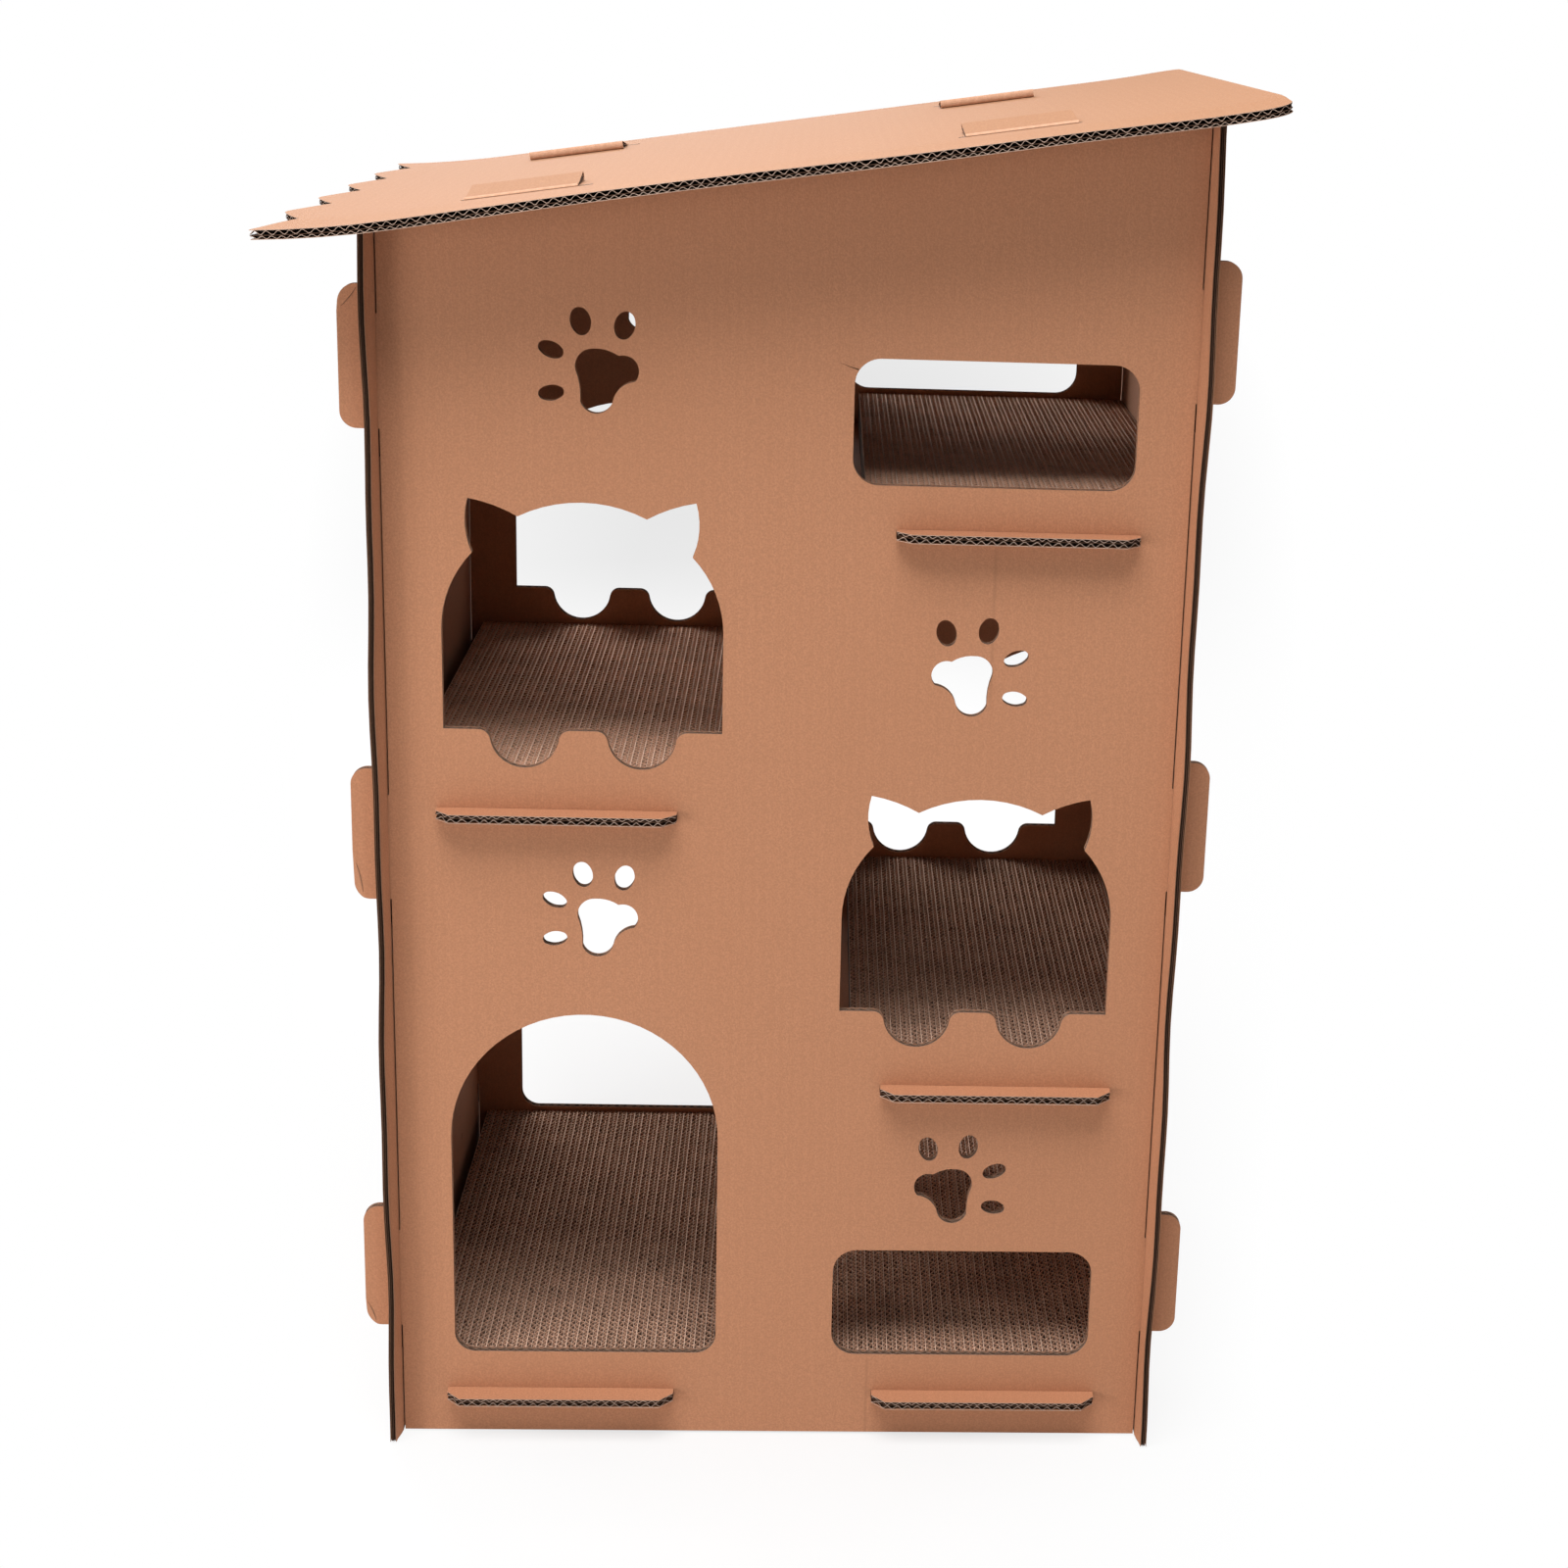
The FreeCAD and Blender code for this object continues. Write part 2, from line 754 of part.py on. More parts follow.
front = wall_panel("front_panel", as_size(0))
pieces = [
    front,
    second_wall("back_panel", front, house_middle * 2),
    side_panel("left_side_panel", -1, left_top, left_hooks),
    side_panel("right_side_panel", 1, right_top, right_hooks),
    floor_board("ground_floor", -half_width, half_width,
                [-tab_offset, tab_offset], s.ground_level),
    floor_board("right_middle_platform", inner_edge, half_width,
                [tab_offset], middle_level),
    floor_board("left_upper_platform", -half_width, -inner_edge,
                [-tab_offset], upper_level),
    floor_board("right_top_platform", inner_edge, half_width,
                [tab_offset], top_level),
    roof_panel("roof_panel"),
    roof_flap("front_left_roof_flap", s.low_flap_place, -1),
    roof_flap("front_right_roof_flap", high_flap_place, -1),
    roof_flap("back_left_roof_flap", s.low_flap_place, 1),
    roof_flap("back_right_roof_flap", high_flap_place, 1),
    scratch_pad("ground_left_pad", s.ground_left_pad_inset - half_width, s.ground_level),
    scratch_pad("ground_right_pad", right_pad - s.ground_right_pad_inset, s.ground_level),
    scratch_pad("middle_right_pad", right_pad - s.middle_right_pad_inset, middle_level),
    scratch_pad("upper_left_pad", s.upper_left_pad_inset - half_width, upper_level),
    scratch_pad("top_right_pad", right_pad - s.top_right_pad_inset, top_level),
]

doc.recompute()
for item in doc.Objects:
    if "Invalid" in item.State or "Error" in item.State:
        raise RuntimeError(f"{item.Name} failed: {item.State}")
for piece in pieces:
    if piece.Shape.isNull() or not piece.Shape.isValid() or len(piece.Shape.Solids) != 1:
        raise RuntimeError(f"{piece.Label} is not one valid solid")

os.makedirs("parts", exist_ok=True)
for piece in pieces:
    piece.Shape.exportStep(f"parts/{piece.Label}.step")
    box = piece.Shape.BoundBox
    print(f"{piece.Label}: {piece.Shape.Volume / 1000:.0f} cm3,"
          f" x {box.XMin:.1f} to {box.XMax:.1f}, y {box.YMin:.1f} to {box.YMax:.1f},"
          f" z {box.ZMin:.1f} to {box.ZMax:.1f}")
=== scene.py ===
# %% [markdown]
# # A cardboard cat house
#
# The real house is cut from double-wall corrugated board: three flat sheets of brown
# paper, called liners, with two rows of waves between them, called flutes. Nothing is
# glued. The walls carry hooks, the floors carry tabs, and everything slots together.
#
# The CAD model already holds each board as a plain solid plate. This scene reads the
# die-cut outline of every plate and fills it with real liners and flutes, so that the
# cut edges show their zigzag from every side. The scratch pads inside are made of the
# same board, cut into strips and stood on edge.

# %% Open the frame
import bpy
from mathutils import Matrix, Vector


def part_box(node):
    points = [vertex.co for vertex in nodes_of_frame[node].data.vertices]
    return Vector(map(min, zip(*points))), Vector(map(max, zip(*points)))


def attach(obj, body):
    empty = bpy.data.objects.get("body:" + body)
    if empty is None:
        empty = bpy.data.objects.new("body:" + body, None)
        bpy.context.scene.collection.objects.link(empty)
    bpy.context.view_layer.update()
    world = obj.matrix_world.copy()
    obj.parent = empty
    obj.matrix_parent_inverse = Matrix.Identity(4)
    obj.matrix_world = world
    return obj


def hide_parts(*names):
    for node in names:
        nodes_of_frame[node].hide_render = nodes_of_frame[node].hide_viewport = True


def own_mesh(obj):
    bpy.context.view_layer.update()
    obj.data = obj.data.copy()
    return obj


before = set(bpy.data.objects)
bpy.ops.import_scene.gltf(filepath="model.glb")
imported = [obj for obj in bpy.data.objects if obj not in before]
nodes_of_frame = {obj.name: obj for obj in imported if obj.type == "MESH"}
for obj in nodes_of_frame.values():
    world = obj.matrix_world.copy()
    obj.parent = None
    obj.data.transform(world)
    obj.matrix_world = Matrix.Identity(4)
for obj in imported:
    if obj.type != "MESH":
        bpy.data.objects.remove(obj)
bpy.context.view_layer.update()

import math
from functools import partial

import bmesh
import bpy
import numpy as np
from mathutils import Matrix, Vector

MM = 0.001

# %% [markdown]
# ## Camera
#
# The house was photographed from a little above its roof, with a long lens, looking
# down at it. The place and the turn come from solving the perspective of the straight
# panel edges. The shift moves the picture on the sensor without turning the camera,
# as a view camera's sliding back does, so the vertical edges keep their slant.

# %% Camera
camera_data = bpy.data.cameras.new("camera")
camera_data.sensor_fit = "HORIZONTAL"
camera_data.sensor_width = 36
camera_data.lens = 59.09
camera_data.shift_x = -0.1041
camera_data.shift_y = -0.0438
camera = bpy.data.objects.new("camera", camera_data)
camera.location = (0.0205, -1.7974, 1.0965)
camera.rotation_euler = [math.radians(angle) for angle in (74.167, -1.982, -2.541)]
bpy.context.collection.objects.link(camera)
bpy.context.scene.camera = camera
print("camera", round(camera.location.length, 3), "m from the front wall's foot")

# %% [markdown]
# ## Light and floor
#
# A photographer lights pale board with large soft boxes, so the shadows have no edge.
# One big area lamp stands low in front on the left, a second hangs over the roof, and a
# long one behind lights the pads through the back openings. The world fills the rest.
# The background is white only for the camera: the Light Path node gives the camera a
# plain white, while the board sees a calmer grey and keeps its colour.

# %% Light and floor
def node(tree, kind, inputs=None, **settings):
    """One node: settings are its own options, inputs are numbers or other nodes' sockets."""
    made = tree.nodes.new(kind)
    for name, value in settings.items():
        setattr(made, name, value)
    for name, value in (inputs or {}).items():
        if isinstance(value, bpy.types.NodeSocket):
            tree.links.new(value, made.inputs[name])
        else:
            made.inputs[name].default_value = value
    return made


def maths(tree, operation, first, second=0.0):
    """The result of one Math node."""
    return node(tree, "ShaderNodeMath", {0: first, 1: second}, operation=operation).outputs[0]


def hands(tree):
    """Two short calls that add to one tree: any node, and the result of a Math node."""
    return partial(node, tree), partial(maths, tree)


def empty_tree(owner):
    """The node tree of a new material or world, with nothing in it."""
    owner.use_nodes = True
    owner.node_tree.nodes.clear()
    return owner.node_tree


def seen_plainly(tree):
    """1 where the camera, a gloss or a clear surface looks straight at the background."""
    path = node(tree, "ShaderNodeLightPath").outputs
    either = maths(tree, "MAXIMUM", path["Is Camera Ray"], path["Is Glossy Ray"])
    return maths(tree, "MAXIMUM", either, path["Is Transmission Ray"])


WHITE = (1, 1, 1, 1)
FILL_LIGHT = 0.17
world = bpy.data.worlds.new("studio")
bpy.context.scene.world = world
tree = empty_tree(world)
fill = node(tree, "ShaderNodeBackground", {"Color": WHITE, "Strength": FILL_LIGHT})
white = node(tree, "ShaderNodeBackground", {"Color": WHITE, "Strength": 1.0})
either = node(tree, "ShaderNodeMixShader", {0: seen_plainly(tree), 1: fill.outputs[0],
              2: white.outputs[0]})
node(tree, "ShaderNodeOutputWorld", {"Surface": either.outputs[0]})


def soft_box(name, place, target, size, power):
    """An area lamp of a width and height in metres, turned towards a target."""
    lamp = bpy.data.lights.new(name, "AREA")
    lamp.shape = "RECTANGLE"
    lamp.size, lamp.size_y = size
    lamp.energy = power
    holder = bpy.data.objects.new(name, lamp)
    holder.location = place
    direction = Vector(target) - Vector(place)
    holder.rotation_euler = direction.to_track_quat("-Z", "Y").to_euler()
    bpy.context.collection.objects.link(holder)


soft_box("front_box", (-2.6, -1.9, 0.6), (0, 0, 0.3), (1.4, 0.9), 38)
soft_box("top_box", (-0.3, -0.9, 3.3), (0, 0, 0.7), (2.4, 2.0), 142)
soft_box("back_box", (-0.7, 2.2, 1.5), (-0.1, 0.2, 0.4), (1.8, 0.5), 42)

# The floor seen through the doorways is a little darker than the one around the house,
# so a patch behind the house, which widens away from it like the house's shadow, is
# lifted less: a painted shadow on the floor.
FLOOR_SIZE, FLOOR_CENTRE, FLOOR_DROP = 30, 9, 1.5 * MM
FLOOR_COLOUR = (0.74, 0.74, 0.74, 1)
HOUSE_PLACE = 0.1 - FLOOR_CENTRE
BEHIND_SHARE, ASIDE_SHARE, WIDENING = 0.05, 1.5, 0.5
PATCH_INNER, PATCH_OUTER, PATCH_LIFT = 0.25, 0.6, 0.72
bpy.ops.mesh.primitive_grid_add(x_subdivisions=8, y_subdivisions=8, size=FLOOR_SIZE,
                                location=(0, FLOOR_CENTRE, -FLOOR_DROP))
floor = bpy.context.active_object
floor.name = "studio_floor"
floor_white = bpy.data.materials.new("floor_paper")
tree = empty_tree(floor_white)
scatter = node(tree, "ShaderNodeBsdfDiffuse", {"Color": FLOOR_COLOUR})
glow = node(tree, "ShaderNodeEmission", {"Color": WHITE, "Strength": 1.0})
place = node(tree, "ShaderNodeTexCoord").outputs["Object"]
from_house = node(tree, "ShaderNodeVectorMath", {0: place, 1: (0, HOUSE_PLACE, 0)},
                  operation="SUBTRACT")
split = node(tree, "ShaderNodeSeparateXYZ", {0: from_house.outputs[0]}).outputs
behind = maths(tree, "MAXIMUM", split["Y"])
drawn_in = maths(tree, "ADD", maths(tree, "MULTIPLY", behind, BEHIND_SHARE),
                 maths(tree, "MINIMUM", split["Y"]))
wide = maths(tree, "ADD", maths(tree, "MULTIPLY", behind, WIDENING), 1.0)
aside = maths(tree, "DIVIDE", maths(tree, "MULTIPLY", split["X"], ASIDE_SHARE), wide)
patch = node(tree, "ShaderNodeCombineXYZ", {"X": aside, "Y": drawn_in})
apart = node(tree, "ShaderNodeVectorMath", {0: patch.outputs[0]}, operation="LENGTH")
away = node(tree, "ShaderNodeMapRange", {"Value": apart.outputs["Value"], "From Min": PATCH_INNER,
            "From Max": PATCH_OUTER, "To Min": PATCH_LIFT, "To Max": 1.0})
lift = maths(tree, "MULTIPLY", seen_plainly(tree), away.outputs[0])
blend = node(tree, "ShaderNodeMixShader", {0: lift, 1: scatter.outputs[0], 2: glow.outputs[0]})
node(tree, "ShaderNodeOutputMaterial", {"Surface": blend.outputs[0]})
floor.data.materials.append(floor_white)
bpy.context.scene.view_settings.view_transform = "Standard"
print("3 soft boxes, floor", round(floor.dimensions.x), "m wide")

# %% [markdown]
# ## Kraft paper
#
# Liners are unbleached kraft paper. Close up it is a felt of fibres: a fine grain with
# darker and paler specks, a slow cloudiness, and long faint streaks where the flutes
# behind press against the sheet. All of that can be noise on Object coordinates, which
# stay with the piece in every pose. Squeezing one axis of the coordinates draws the
# noise out into fibres, and a sine of the distance across the flutes gives the streaks.
# The walls, the roof and worn paper differ in tone, so one recipe takes their colours. The
# worn paper also covers the flaps' creases and rolled ends, where its paleness paints the
# highlight along the bend.

# %% Kraft paper
def tinted(colour, by):
    """A colour made darker or paler."""
    return [channel * by for channel in colour]


def mix(tree, share, first, second):
    """A blend of two colours, each a socket or three numbers."""
    made = node(tree, "ShaderNodeMix", {0: share}, data_type="RGBA")
    for socket, value in ((made.inputs[6], first), (made.inputs[7], second)):
        if isinstance(value, bpy.types.NodeSocket):
            tree.links.new(value, socket)
        else:
            socket.default_value = (*value, 1)
    return made.outputs[2]


def noise(tree, place, scale, stretch=(1, 1, 1), detail=3.0, low=0.4, high=0.6):
    """Noise between two levels, drawn out along the axes whose stretch is small."""
    mapped = node(tree, "ShaderNodeMapping", {"Vector": place, "Scale": stretch})
    cloud = node(tree, "ShaderNodeTexNoise", {"Vector": mapped.outputs[0], "Scale": scale,
                 "Detail": detail})
    return node(tree, "ShaderNodeMapRange", {"Value": cloud.outputs[0], "From Min": low,
                "From Max": high}).outputs[0]


EVEN = (1, 1, 1)
FIBRE_STRETCH = 0.3
WASHBOARD = 0.25
FLUTE_PITCH = 7.8 * MM


def kraft_paper(name, colour, shade, across, along=2, shine=0.22, creases=()):
    """Kraft paper: across is the axis that the flutes repeat on, along the one they run on."""
    material = bpy.data.materials.new(name)
    tree = empty_tree(material)
    place = node(tree, "ShaderNodeTexCoord").outputs["Object"]
    stretch = list(EVEN)
    stretch[along] = FIBRE_STRETCH
    fibre = noise(tree, place, 900, stretch, 3.0, 0.3, 0.7)
    grain = noise(tree, place, 700, EVEN, 2.0, 0.36, 0.64)
    cloudy = noise(tree, place, 7, stretch, 3.0, 0.35, 0.65)
    speck = noise(tree, place, 1000, EVEN, 1.0, 0.66, 0.78)
    pale_speck = noise(tree, place, 1300, EVEN, 1.0, 0.66, 0.78)
    split = node(tree, "ShaderNodeSeparateXYZ", {0: place}).outputs
    turns = maths(tree, "MULTIPLY", split[across], math.tau / FLUTE_PITCH)
    ridges = node(tree, "ShaderNodeMapRange", {"Value": maths(tree, "SINE", turns), "From Min": -1,
                  "From Max": 1, "To Max": WASHBOARD}).outputs[0]
    body = mix(tree, fibre, tinted(colour, 0.93), tinted(colour, 1.04))
    body = mix(tree, maths(tree, "MULTIPLY", grain, 0.62), body, tinted(colour, 0.72))
    body = mix(tree, ridges, body, shade)
    body = mix(tree, maths(tree, "MULTIPLY", cloudy, 0.22), body, shade)
    body = mix(tree, speck, body, tinted(colour, 0.82))
    body = mix(tree, pale_speck, body, tinted(colour, 1.12))
    # Painted shade: each crease is a darker line in the paper's colour.
    for crease in creases:
        body = mix(tree, crease_line(tree, split, *crease), body, tinted(colour, 0.55))
    bump = node(tree, "ShaderNodeBump", {"Strength": 0.35, "Distance": 0.12 * MM,
                "Height": maths(tree, "ADD", grain, fibre)})
    press = node(tree, "ShaderNodeBump", {"Strength": 0.25, "Distance": 0.3 * MM,
                 "Height": ridges, "Normal": bump.outputs[0]})
    surface = node(tree, "ShaderNodeBsdfPrincipled", {"Base Color": body, "Roughness": 0.8,
                   "Specular IOR Level": shine, "Normal": press.outputs[0]})
    node(tree, "ShaderNodeOutputMaterial", {"Surface": surface.outputs[0]})
    return material


def ramp(tree, value, start, end, top=1.0):
    """0 at the start, top at the end, and straight between."""
    return node(tree, "ShaderNodeMapRange", {"Value": value, "From Min": start, "From Max": end,
                "To Max": top}).outputs[0]


def crease_line(tree, split, x, low, high, width):
    """A faint upright line of painted shade where the board was once bent: how dark it is at a point.
    """
    aside = maths(tree, "ABSOLUTE", maths(tree, "SUBTRACT", split["X"], x))
    ends = maths(tree, "MULTIPLY", ramp(tree, split["Z"], low, low + CREASE_FADE),
                 ramp(tree, split["Z"], high, high - CREASE_FADE))
    return maths(tree, "MULTIPLY", ramp(tree, aside, width, 0.0, CREASE_DARKNESS), ends)


# Painted shade along the front wall's creases: each line's x, lowest and highest z, and half width.
CREASE_DARKNESS = 0.35
CREASE_FADE = 20 * MM
FRONT_CREASES = ((148.5 * MM, 590 * MM, 722 * MM, 1.8 * MM),
                 (73 * MM, -20 * MM, 80 * MM, 1.5 * MM))
WALL_COLOUR = (0.495, 0.228, 0.123)
WALL_SHADE = (0.42, 0.186, 0.096)
ROOF_COLOUR = (0.40, 0.208, 0.118)
ROOF_SHADE = (0.345, 0.172, 0.095)
WORN_COLOUR = (0.60, 0.35, 0.235)
wall_paper = kraft_paper("wall_kraft", WALL_COLOUR, WALL_SHADE, across=0, along=2)
front_paper = kraft_paper("front_kraft", WALL_COLOUR, WALL_SHADE, across=0, along=2,
                          creases=FRONT_CREASES)
side_paper = kraft_paper("side_kraft", WALL_COLOUR, WALL_SHADE, across=1, along=2)
floor_paper = kraft_paper("platform_kraft", WALL_COLOUR, WALL_SHADE, across=0, along=1)
roof_paper = kraft_paper("roof_kraft", ROOF_COLOUR, ROOF_SHADE, across=0, shine=0.05, along=1)
worn_paper = kraft_paper("worn_kraft", WORN_COLOUR, ROOF_COLOUR, across=0, shine=0.05, along=0)
print("papers:", [m.name for m in bpy.data.materials if m.name.endswith("kraft")])

# %% [markdown]
# The waves inside are a rougher, greyer recycled paper. Only their cut edges and their
# first few millimetres ever show, so the recipe is short: fibres and a dusty grain. On
# the scratch pads it also darkens with depth, because no light reaches down a flute.

# %% Flute paper
LIT_DEPTH, DARK_DEPTH = 0.7 * MM, 3.0 * MM


def flute_paper(name, colour, top=None):
    """Rough paper; below a top edge, where one is given, it darkens with depth."""
    material = bpy.data.materials.new(name)
    tree = empty_tree(material)
    place = node(tree, "ShaderNodeTexCoord").outputs["Object"]
    fibre = noise(tree, place, 700, EVEN, 4.0, 0.3, 0.7)
    cloudy = noise(tree, place, 30, EVEN, 3.0, 0.35, 0.65)
    body = mix(tree, fibre, tinted(colour, 0.62), colour)
    body = mix(tree, maths(tree, "MULTIPLY", cloudy, 0.35), body, tinted(colour, 1.2))
    if top is not None:
        height = node(tree, "ShaderNodeSeparateXYZ", {0: place}).outputs["Z"]
        deep = ramp(tree, height, top - LIT_DEPTH, top - DARK_DEPTH)
        body = mix(tree, deep, body, tinted(colour, 0.12))
    bump = node(tree, "ShaderNodeBump", {"Strength": 0.5, "Distance": 0.2 * MM, "Height": fibre})
    surface = node(tree, "ShaderNodeBsdfPrincipled", {"Base Color": body, "Roughness": 0.95,
                   "Specular IOR Level": 0.15, "Normal": bump.outputs[0]})
    node(tree, "ShaderNodeOutputMaterial", {"Surface": surface.outputs[0]})
    return material


core_paper = flute_paper("core_paper", (0.085, 0.043, 0.026))
# Painted light: a paler copy of the core paper, for the front wall's lit cut edges.
front_core = flute_paper("front_core", (0.21, 0.125, 0.085))
pale_cut = flute_paper("pale_cut", (0.52, 0.37, 0.29))
front_cut = flute_paper("front_cut", (0.38, 0.25, 0.185))
brown_cut = flute_paper("brown_cut", (0.24, 0.13, 0.08))
print(core_paper.name, len(core_paper.node_tree.nodes), "nodes")

# %% [markdown]
# ## Reading a die-cut outline
#
# Each CAD board is a plate, so the faces on its upper side hold the whole outline with
# every doorway and slot. A board gets its own flat frame: U runs across the flutes, V
# along them, and W out of the upper side. For a curled board such as the roof, the
# height of the upper side is kept as a curve over U, so the sheet can be worked flat
# and bent back at the end.

# %% Reading a die-cut outline
class Blank:
    """A board laid flat: its outline in U and V, and how its upper side rises over U."""

    def __init__(self, name, along, up):
        self.name = name
        self.along, self.up = Vector(along).normalized(), Vector(up).normalized()
        self.across = self.along.cross(self.up)
        shape = bmesh.new()
        shape.from_mesh(nodes_of_frame[name].data)
        bmesh.ops.remove_doubles(shape, verts=shape.verts, dist=0.01 * MM)
        hidden = [face for face in shape.faces if face.normal.dot(self.up) < 0.9]
        bmesh.ops.delete(shape, geom=hidden, context="FACES")
        turned = [(v.co.dot(self.across), v.co.dot(self.along), v.co.dot(self.up))
                  for v in shape.verts]
        shape.verts.index_update()
        self.points = [(u, v, 0) for u, v, w in turned]
        self.faces = [[v.index for v in face.verts] for face in shape.faces]
        self.rise = sorted({(round(u, 6), round(w, 6)) for u, v, w in turned})
        self.rim = np.array([[turned[v.index][:2] for v in edge.verts]
                             for edge in shape.edges if edge.is_boundary])
        shape.free()

    def spans(self, u):
        """The stretches of V that lie inside the outline at one U."""
        start, end = self.rim[:, 0], self.rim[:, 1]
        crossed = (start[:, 0] <= u) != (end[:, 0] <= u)
        start, end = start[crossed], end[crossed]
        share = (u - start[:, 0]) / (end[:, 0] - start[:, 0])
        places = sorted(start[:, 1] + share * (end[:, 1] - start[:, 1]))
        return list(zip(places[::2], places[1::2]))

    def place(self, u, v, w):
        """A flat point back on the real board."""
        heights = np.interp(u, [r[0] for r in self.rise], [r[1] for r in self.rise])
        return (self.across * u) + (self.along * v) + (self.up * (w + float(heights)))


test_blank = Blank("front_panel", (0, 0, 1), (0, -1, 0))
print("front wall:", len(test_blank.rim), "edges round its outline and openings,",
      len(test_blank.spans(test_blank.rim[:, :, 0].mean())), "spans in the middle")

# %% [markdown]
# ## Flutes
#
# Flutes fill the outline, so they start as narrow cells across it, like the slats of a
# blind: each cell is a piece of sheet between two neighbouring lines, as long as the
# outline is there, and it stops just short of the cut edge. Every point of a cell
# remembers the pitch and the swing of its row, because the taller row has longer waves.

# %% Flutes
BOARD = 6.5 * MM
LINER = 0.35 * MM
MEDIUM = 0.45 * MM
ROWS = ((0.585, 7.8 * MM), (0.415, 6.4 * MM))
CELLS_PER_WAVE = 8
EDGE_GAP = 0.15 * MM
SHORTEST_CELL = EDGE_GAP * 3
MOST_SLANT = 6
FINEST = 0.01 * MM


def shared_span(span, others):
    """What a span has in common with the spans of the next line."""
    return [(max(span[0], low), min(span[1], high)) for low, high in others
            if min(span[1], high) - max(span[0], low) > SHORTEST_CELL]


def flute_cells(blank):
    """Flat cells for both rows of flutes, with each row's pitch and swing on its points."""
    low, high = blank.rim[:, :, 0].min(), blank.rim[:, :, 0].max()
    clear = BOARD - LINER * 3
    points, faces, pitches, swings = [], [], [], []
    top = -LINER
    for share, pitch in ROWS:
        height = clear * share
        middle = top - height / 2
        top -= height + LINER
        step = pitch / CELLS_PER_WAVE
        lines = np.arange(math.ceil(low / step) * step, high, step)
        spans = [blank.spans(u) for u in lines]
        for i in range(len(lines) - 1):
            paired = len(spans[i]) == len(spans[i + 1])
            for order, span in enumerate(spans[i]):
                match = spans[i + 1][order] if paired else None
                slant = abs(span[0] - match[0]) + abs(span[1] - match[1]) if match else 0
                if match and shared_span(span, [match]) and slant < step * MOST_SLANT:
                    stretches = [(span, match)]
                else:
                    stretches = [(common, common) for common in shared_span(span, spans[i + 1])]
                for first, second in stretches:
                    count = len(points)
                    points += [(lines[i], first[0] + EDGE_GAP, middle),
                               (lines[i + 1], second[0] + EDGE_GAP, middle),
                               (lines[i + 1], second[1] - EDGE_GAP, middle),
                               (lines[i], first[1] - EDGE_GAP, middle)]
                    faces.append((count, count + 1, count + 2, count + 3))
                    pitches += [pitch] * 4
                    swings += [(height - MEDIUM) / 2] * 4
    mesh = bpy.data.meshes.new(f"{blank.name}_cells")
    mesh.from_pydata(points, [], faces)
    for title, values in (("pitch", pitches), ("swing", swings)):
        mesh.attributes.new(title, "FLOAT", "POINT").data.foreach_set("value", values)
    mesh.materials.append(core_paper)
    cells = bpy.data.objects.new(f"{blank.name}_cells", mesh)
    bpy.context.collection.objects.link(cells)
    return cells


test_cells = flute_cells(test_blank)
print("front wall:", len(test_cells.data.polygons), "flute cells")

# %% [markdown]
# ## Double-wall board with Geometry Nodes
#
# A board follows a rule, so nodes build it: three copies of the outline sheet become
# the liners, and a sine moves the cells up and down to make both rows of flutes. Then
# every sheet gets its paper thickness: the faces are extruded, and a flipped copy of
# the sheet closes the underside. The same tree serves all boards, from the walls to
# the small folded flaps.

# %% Double-wall board with Geometry Nodes
def new_tree(name, sockets):
    tree = bpy.data.node_groups.new(name, "GeometryNodeTree")
    tree.interface.new_socket("Geometry", in_out="INPUT", socket_type="NodeSocketGeometry")
    for title, kind in sockets:
        tree.interface.new_socket(title, in_out="INPUT", socket_type=f"NodeSocket{kind}")
    tree.interface.new_socket("Geometry", in_out="OUTPUT", socket_type="NodeSocketGeometry")
    return tree, node(tree, "NodeGroupInput").outputs


def upright(tree, height):
    return node(tree, "ShaderNodeCombineXYZ", {"Z": height}).outputs[0]


def position(tree):
    """The X, Y and Z of every point."""
    place = node(tree, "GeometryNodeInputPosition").outputs[0]
    return node(tree, "ShaderNodeSeparateXYZ", {0: place}).outputs


def thicken(tree, sheet, direction, thickness, paper, cut):
    """A sheet raised to a closed plate: the top is extruded, a flipped copy is the bottom."""
    faced = node(tree, "GeometryNodeSetMaterial", {"Geometry": sheet, "Material": paper})
    raised = node(tree, "GeometryNodeExtrudeMesh", {"Mesh": faced.outputs[0],
                  "Offset": direction, "Offset Scale": thickness, "Individual": False},
                  mode="FACES")
    edged = node(tree, "GeometryNodeSetMaterial", {"Geometry": raised.outputs["Mesh"],
                 "Selection": raised.outputs["Side"], "Material": cut})
    under = node(tree, "GeometryNodeFlipFaces", {"Mesh": faced.outputs[0]})
    both = node(tree, "GeometryNodeJoinGeometry")
    tree.links.new(edged.outputs[0], both.inputs[0])
    tree.links.new(under.outputs["Mesh"], both.inputs[0])
    return node(tree, "GeometryNodeMergeByDistance", {"Geometry": both.outputs[0],
                "Distance": FINEST / 5}).outputs[0]


